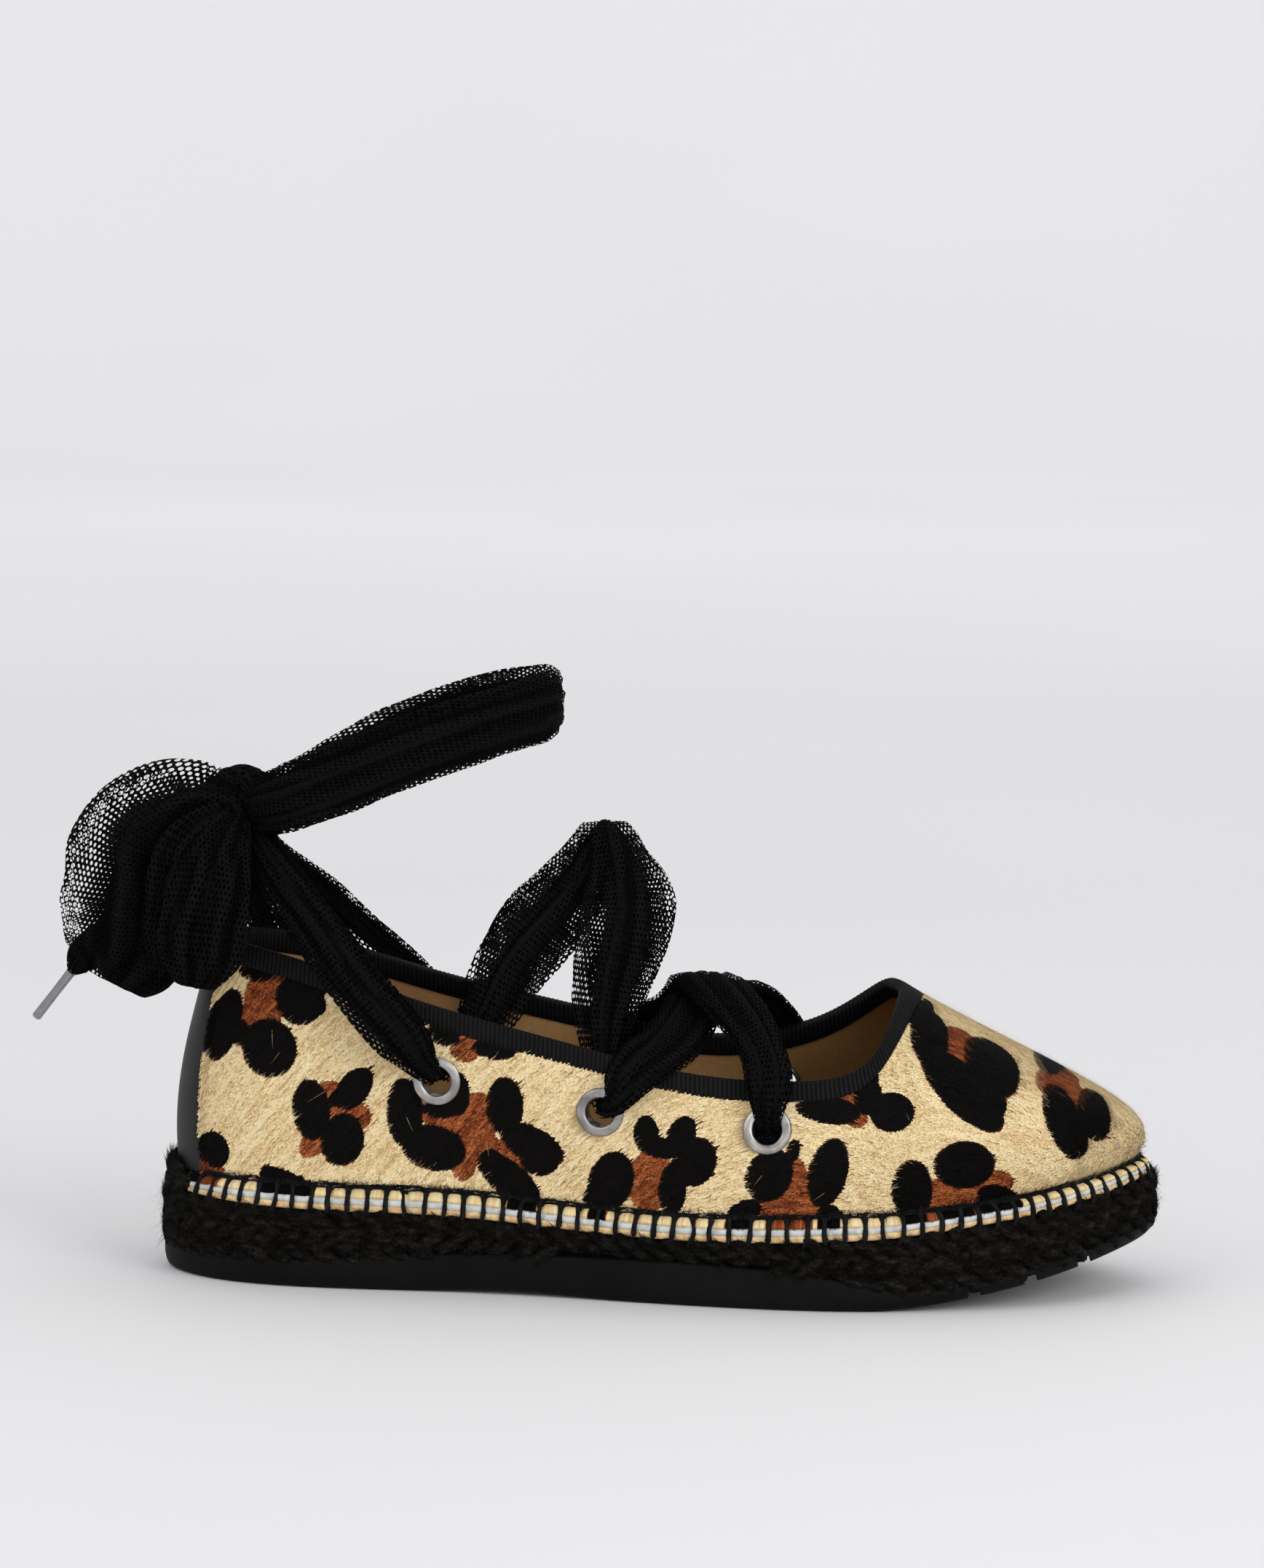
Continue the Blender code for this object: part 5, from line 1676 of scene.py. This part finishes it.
# %% The turned edge and the white board
STITCHES = 118
FINE = 12 * STITCHES  # points round the edge, 12 to a stitch
EDGE_U = np.arange(FINE) * ROUND / FINE
STITCH_PITCH = ROUND / STITCHES
PINCH_REACH = 0.85 * MM
chance = np.random.default_rng(31)
PUFF = chance.uniform(-1, 1, STITCHES)  # how far each pillow hangs over the board


def pinch_at(u):
    """1 at a stitch, 0 between two."""
    near = np.abs((u / STITCH_PITCH + 0.5) % 1 - 0.5) * STITCH_PITCH
    return np.exp(-((near / PINCH_REACH) ** 2))


def edge_height(x):
    """How tall the edge is: full at the back and the waist, lower towards the toe."""
    return np.interp(x / MM, (-126, -100, 50, 90, 126), (0.72, 1.0, 1.0, 0.80, 0.70))


def edge_row(inset, lift, pinch_in=0.0, pinch_down=0.0, puff=0.0, u=EDGE_U, pinch=None):
    """One row of the edge in millimetres: inset from the outline and lift above the jute."""
    pinch = pinch_at(u) if pinch is None else pinch
    flat, _ = outline(u, (inset + pinch_in * pinch) * MM)
    hang = puff * PUFF[(u / STITCH_PITCH).astype(int) % STITCHES] * (1 - pinch)
    z = sole_height(flat[:, 0]) + GAP + (lift + hang - pinch_down * pinch) * MM * edge_height(flat[:, 0])
    return np.column_stack([flat, z])


def edge_piece(name, rows, finish, slot, values=None):
    points = np.concatenate([edge_row(*row) for row in rows])
    faces = grid(len(rows), FINE, closed_columns=True)[:, ::-1]
    return piece(name, points, faces, finish, slot, values=values)


board_paint = clouded(400, 3.0, (0.35, srgb(176, 182, 180)), (0.65, srgb(208, 212, 208)))
tan_paint = clouded(600, 3.0, (0.35, srgb(202, 164, 112)), (0.65, srgb(236, 206, 158)))
board = material("white_board", board_paint, Roughness=0.6)
tan_edge = material("tan_leather_edge", tan_paint, Roughness=0.8, Specular_IOR_Level=0.2)
edge_piece(
    "board_tan_edge",
    [(3.6, -0.1), (2.0, -0.1), (1.75, 0.3, 0.5), (1.75, 1.0, 0.6), (2.0, 1.5, 0.6, 0.1), (3.6, 1.55)],
    tan_edge, "lining",
)
edge_piece(
    "board_white_edge",
    [
        (3.6, 1.3), (2.2, 1.5, 0.6, 0.1), (1.95, 1.75, 0.7), (1.9, 2.3, 0.8), (2.0, 2.9, 0.8),
        (2.6, 3.3, 0.6), (4, 3.4),
    ],
    board, "lining",
)
rows = [(4.4, 3.0), (2.9, 3.05, 0.5, 0, 0.25), (2.35, 3.3, 0.8, 0, 0.25), (2.15, 3.75, 1.2, 0.2, 0.15)]
rows += [(2.3, 4.2, 1.3, 0.4), (2.75, 4.65, 1.3, 0.6), (3.4, 5.0, 1.1, 0.7), (4.2, 5.25, 0.7, 0.5)]
rows += [(5.0, 5.4, 0.3, 0.2), (5.5, 5.5), (5.9, 6.0)]


def edge_coat(u):
    """The turned edge has the colour of the leather above it, and at the heel strip it is black."""
    return np.where(np.abs(u - HEEL_BACK) < strip_half(0), 2, coat(upper_surface(u, 0.0)))


kinds_round = edge_coat(EDGE_U)
coat_round = np.tile(palette(kinds_round, chance), len(rows))
edge_piece("hide_turned_edge", rows, hide, "hair_on_leather", {"coat": coat_round})

# Short hair on the pillows, pointing down and out over the white board.
EDGE_HAIRS = 26000
u = chance.uniform(0, ROUND, EDGE_HAIRS)
share = chance.uniform(0, 1, EDGE_HAIRS)
pinch = pinch_at(u)
root = edge_row(4.9 - 2.6 * share, 5.4 - 1.7 * share, 1.2, 0.5, 0, u, pinch)
_, out, round_way = beside(u)
reach = chance.uniform(0.6, 1.4, EDGE_HAIRS)[:, None] * MM
side = chance.normal(0.15, 0.3, EDGE_HAIRS)[:, None] * round_way
fall = 0.2 + 0.7 * share[:, None]
tip_at = root + reach * (out * (1.15 - fall) + side - UP * fall * 0.8) + out * 0.2 * MM
keep = pinch < 0.5
slivers(
    "edge_hair", root[keep], tip_at[keep], (out + 0.6 * UP)[keep], np.full(int(keep.sum()), 0.12 * MM),
    hair_finish, "hair_on_leather", palette(edge_coat(u), chance)[keep], "OFBake",
)
print("stitches:", STITCHES, "pitch", round(STITCH_PITCH / MM, 2), "mm")

# %% [markdown]
# ## Blanket stitch and chain
# Waxed black thread comes up through the jute, over the edge and into the chain
# that runs along the foot of the leather. Threads are round tubes swept along
# short paths, all made at once by one function.

# %% Thread
thread_paint = clouded(900, 3.0, (0.35, srgb(7, 7, 7)), (0.7, srgb(30, 30, 30)), (1, 1, 0.4), 0.2 * MM)
thread = material("waxed_thread", thread_paint, Roughness=0.7, Specular_IOR_Level=0.1)


def tubes(name, paths, radii, finish, slot, sides=8, closed=False):
    """Round tubes along paths, an array of path by point by x, y and z, with a radius at each point."""
    if closed:
        ahead = unit(np.roll(paths, -1, axis=1) - np.roll(paths, 1, axis=1))
    else:
        ahead = unit(np.gradient(paths, axis=1))
    first = unit(np.cross(ahead, np.array([0.31, 0.17, 0.93])))
    second = np.cross(ahead, first)
    angle = np.linspace(0, 2 * pi, sides, endpoint=False)[:, None]
    around = first[:, :, None] * np.cos(angle) + second[:, :, None] * np.sin(angle)
    points = paths[:, :, None] + around * np.broadcast_to(radii, paths.shape[:2])[:, :, None, None]
    count, steps = paths.shape[:2]
    faces = many(grid(steps, sides, closed, True), count, steps * sides)
    return piece(name, points.reshape(-1, 3), faces, finish, slot)


STITCH_ROWS = (  # inset, lift, how far round the stitch leans and its radius, in millimetres
    (5.4, 5.7, 0.6, 0.4), (4.9, 5.6, 0.4, 0.65), (4.3, 5.1, 0.2, 0.72), (3.7, 4.5, 0.1, 0.7),
    (3.1, 3.6, 0.0, 0.66), (2.5, 2.6, 0.0, 0.66), (2.1, 1.6, 0.0, 0.66), (1.7, 0.6, 0.0, 0.68),
    (1.35, -0.5, 0.2, 0.72), (1.2, -1.6, 0.8, 0.7), (1.5, -2.8, 1.7, 0.6), (2.4, -3.9, 2.5, 0.4),
)
stitch_u = np.arange(STITCHES) * STITCH_PITCH
lean = chance.normal(0, 0.28, STITCHES) * MM
swing = chance.normal(0, 0.3, STITCHES) * MM
flat_pinch = np.zeros(STITCHES)
stitch_paths = []
for inset, lift, shift, _ in STITCH_ROWS:
    moved = stitch_u + shift * MM + lean * (lift / 5) + swing * np.sin(pi * max(lift, 0) / 5.5)
    stitch_paths.append(edge_row(inset, lift, u=moved, pinch=flat_pinch))
thickness = np.array([row[3] for row in STITCH_ROWS]) * chance.uniform(0.88, 1.12, (STITCHES, 1)) * MM
tubes("blanket_stitches", np.stack(stitch_paths, axis=1), thickness, thread, "tulle")

link = EDGE_U / STITCH_PITCH % 1
link = np.minimum(link, 1 - link)
wander = 0.2 * MM * np.sin(EDGE_U / (3.1 * MM)) + 0.14 * MM * np.sin(EDGE_U / (1.7 * MM) + 2)
for number, (inset, lift, radius) in enumerate(((5.15, 6.3, 0.62), (4.85, 5.5, 0.5))):
    chain = edge_row(inset, lift, u=EDGE_U, pinch=np.zeros(FINE))
    chain[:, 2] += (wander if number else -wander) - 0.45 * MM * np.exp(-((link / 0.2) ** 2))
    swell = radius * (0.85 + 0.4 * np.exp(-((link / 0.2) ** 2)))
    tubes(f"chain_stitch_{number + 1}", chain[None], swell[None] * MM, thread, "tulle", 6, True)

# Fluff of the thread, of dark hair caught in it and of the hair that it parts.
CAUGHT = 14000
u = chance.uniform(0, ROUND, CAUGHT)
lift = chance.uniform(5.1, 6.7, CAUGHT)
root = edge_row(4.8, lift, 0, 0, 0, u, np.zeros(CAUGHT)) + chance.normal(0, 0.3, (CAUGHT, 3)) * MM
_, out, round_way = beside(u)
aim = out * 0.45 + round_way * chance.normal(0, 0.9, (CAUGHT, 1))
aim = unit(aim + UP * chance.normal(0.25, 0.55, (CAUGHT, 1)))
tip_at = root + aim * chance.uniform(0.7, 2.4, (CAUGHT, 1)) * MM
slivers("chain_fluff", root, tip_at, out, chance.uniform(0.05, 0.1, CAUGHT) * MM, thread, "tulle")
print("threads:", STITCHES + 2)

# %% [markdown]
# ## The binding
# Black grosgrain tape is folded over the collar, inside and out. Grosgrain has
# round ribs across it, a little over a millimetre apart. The tape's section
# goes down the outside, over the top and down the inside, and a wave along the
# collar lifts each rib. The same wave is kept on the points, so that the dips
# between the ribs get painted shade and their crests a painted highlight.

# %% Grosgrain tape
TAPE_DEEP, TAPE_THICK, RIB_PITCH = 5.0 * MM, 0.42 * MM, 1.15 * MM
RIB_LIFT, TOP_LIFT = 0.18 * MM, 0.55 * MM
TAPE_COLUMNS = 2200
OUTSIDE_ROWS = (  # share of the tape's depth, and height above the leather
    (1, 0.15 * MM), (0.97, TAPE_THICK), (0.65, TAPE_THICK), (0.4, TAPE_THICK), (0.2, TAPE_THICK),
)
tape_u = np.arange(TAPE_COLUMNS) * ROUND / TAPE_COLUMNS
tape_t = np.linspace(0.78, 1, 16)
near_collar = upper_surface(tape_u[None, :], tape_t[:, None])
collar_normal, _ = upper_frame(tape_u, 1.0)
from_top = np.linalg.norm(np.diff(near_collar, axis=0), axis=2)[::-1].cumsum(axis=0)[::-1]
from_top = np.concatenate([from_top, np.zeros((1, TAPE_COLUMNS))])
collar = near_collar[-1]
collar_run = np.concatenate([[0], np.cumsum(np.linalg.norm(np.diff(collar, axis=0), axis=1))])
collar_long = collar_run[-1] + np.linalg.norm(collar[0] - collar[-1])
ribs_round = round(collar_long / RIB_PITCH)
rib = 0.5 + 0.5 * np.cos(2 * pi * ribs_round * collar_run / collar_long)


def below_collar(down):
    """The leather's outer face this far under the collar, and its normal, at each column of the tape."""
    t = np.array([np.interp(-down, -from_top[:, i], tape_t) for i in range(TAPE_COLUMNS)])
    return upper_surface(tape_u, t), upper_frame(tape_u, t)[0]


tape_rows = []
for down, out in OUTSIDE_ROWS:
    at, normal = below_collar(down * TAPE_DEEP)
    tape_rows.append(at + normal * (out + RIB_LIFT * rib)[:, None])
climb = unit(collar - below_collar(1.5 * MM)[0])
over = (  # how far out of the leather, and share of the lift
    (TAPE_THICK * 0.95, 0.15), (TAPE_THICK * 0.4, 0.75), (-WALL * 0.25, 1.05), (-WALL * 0.75, 1.05),
    (-WALL - TAPE_THICK * 0.4, 0.75), (-WALL - TAPE_THICK * 0.95, 0.15),
)
for out, high in over:
    sign = 1 if out > -WALL / 2 else -1
    across = collar_normal * (out + sign * 0.5 * RIB_LIFT * rib)[:, None]
    tape_rows.append(collar + across + climb * (high * TOP_LIFT + 0.7 * RIB_LIFT * rib)[:, None])
for down in (1.2 * MM, TAPE_DEEP * 0.5, TAPE_DEEP * 0.97, TAPE_DEEP):
    at, normal = below_collar(down)
    skin = 0.1 * MM if down == TAPE_DEEP else TAPE_THICK
    tape_rows.append(at - normal * (WALL + skin + 0.6 * RIB_LIFT * rib)[:, None])


def tape_paint(new):
    rise = new.node("Attribute", {"attribute_name": "rib"}, out=2)
    cloud = noise(new, 400, 3.0)
    stops = (0.15, srgb(6, 6, 6)), (0.55, srgb(14, 14, 15)), (1.0, srgb(30, 30, 32))
    # Painted shade in the dips between ribs and painted highlight on their crests, with random clouds.
    shade = (rise * 0.75 + cloud * 0.3).ramp(*stops)
    return {"Base Color": shade, "Normal": bump(new, cloud, 0.0001)}


tape = material("black_grosgrain", tape_paint, Roughness=0.7, Specular_IOR_Level=0.08)
piece(
    "collar_binding", np.concatenate(tape_rows),
    grid(len(tape_rows), TAPE_COLUMNS, closed_columns=True)[:, ::-1],
    tape, "tulle", values={"rib": np.tile(rib, len(tape_rows))},
)
print("ribs round the collar:", ribs_round)

# %% [markdown]
# ## The heel strip
# A smooth strip of dark leather covers the back seam. It narrows as it climbs,
# and its edges are skived thin, so its thickness falls away to nothing there.
# It is plain, and nothing is stamped on it.

# %% Heel strip
STRIP_THICK, STRIP_GAP, STRIP_EDGE = 1.2 * MM, 0.45 * MM, 0.25 * MM
STRIP_ROWS, STRIP_COLUMNS = 60, 33


def leather_paint(new):
    grain = new.node("TexVoronoi", {"feature": "SMOOTH_F1"}, {"Vector": place(new), "Scale": 1500})
    cloud = noise(new, 45, 4.0)
    shade = cloud.ramp((0.3, srgb(13, 13, 12)), (0.7, srgb(23, 24, 22)))
    return {"Base Color": shade, "Roughness": cloud * 0.25 + 0.4, "Normal": bump(new, grain + cloud, 0.00005)}


smooth_leather = material("smooth_dark_leather", leather_paint, Specular_IOR_Level=0.3)
across = np.sin(np.linspace(-pi / 2, pi / 2, STRIP_COLUMNS))
strip_rows = []
for t in np.linspace(0.0, 0.97, STRIP_ROWS):
    u = HEEL_BACK + across * strip_half(t)
    at, (normal, _) = upper_surface(u, t), upper_frame(u, np.full(len(u), t))
    round_edge = np.clip(1 - np.abs(across) ** 8, 0, 1) ** 0.5
    end = np.clip((0.985 - t) / 0.02, 0, 1) ** 0.5
    high = STRIP_EDGE + (STRIP_GAP + STRIP_THICK - STRIP_EDGE) * round_edge * end
    strip_rows.append(at + normal * high[:, None])
piece(
    "heel_strip", np.concatenate(strip_rows), grid(STRIP_ROWS, STRIP_COLUMNS)[:, ::-1],
    smooth_leather, "heel_leather", ["heel_counter"],
)
print("heel strip:", round(2 * float(strip_half(0)) / MM), "mm wide at its foot")

# %% [markdown]
# ## Eyelets
# A brushed silver washer, a barrel through the wall and a rolled lip inside are
# one turned profile, spun round the hole's own axis.

# %% Eyelets
EYELET_PROFILE = (  # radius and height above the leather, in millimetres
    (3.5, -2.9), (3.62, -3.05), (4.2, -2.95), (4.75, -2.6), (4.6, -2.35), (4.05, -2.3), (4.05, 0.2),
    (5.6, 0.1), (6.02, 0.15), (6.1, 0.35), (6.05, 0.62), (5.85, 0.85), (5.5, 1.0), (4.9, 1.08),
    (4.4, 1.1), (4.0, 1.02), (3.72, 0.82), (3.56, 0.5), (3.5, 0.0),
)
EYELET_SIDES = 64


def metal_paint(new):
    brushed = noise(new, 700, 2.0, place(new, (1, 1, 6)))
    cloud = noise(new, 250, 2.0)
    shade = cloud.ramp((0.3, srgb(128, 125, 122)), (0.7, srgb(186, 183, 180)))
    return {"Base Color": shade, "Roughness": brushed * 0.25 + 0.2, "Normal": bump(new, brushed, 0.00003)}


silver = material("brushed_silver", metal_paint, Metallic=1.0)
angle = np.linspace(0, 2 * pi, EYELET_SIDES, endpoint=False)
for (side, name), (centre, normal) in HOLES.items():
    first = unit(np.cross(UP, normal))
    second = np.cross(normal, first)
    spin = first[None] * np.cos(angle)[:, None] + second[None] * np.sin(angle)[:, None]
    rings = [centre + spin * radius * MM + normal * height * MM for radius, height in EYELET_PROFILE]
    piece(
        f"silver_eyelet_{side}_{name}", np.concatenate(rings),
        grid(len(rings), EYELET_SIDES, True, True), silver, "eyelet_metal", [f"eyelet_{side}_{name}"],
    )
print("eyelets:", len(HOLES))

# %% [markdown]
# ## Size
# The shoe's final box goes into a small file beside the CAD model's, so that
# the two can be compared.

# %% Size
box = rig.bounds()
with open("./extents.json", "w") as file:
    json.dump({"cad": [list(c) for c in cad_box], "visual": [list(c) for c in box]}, file)
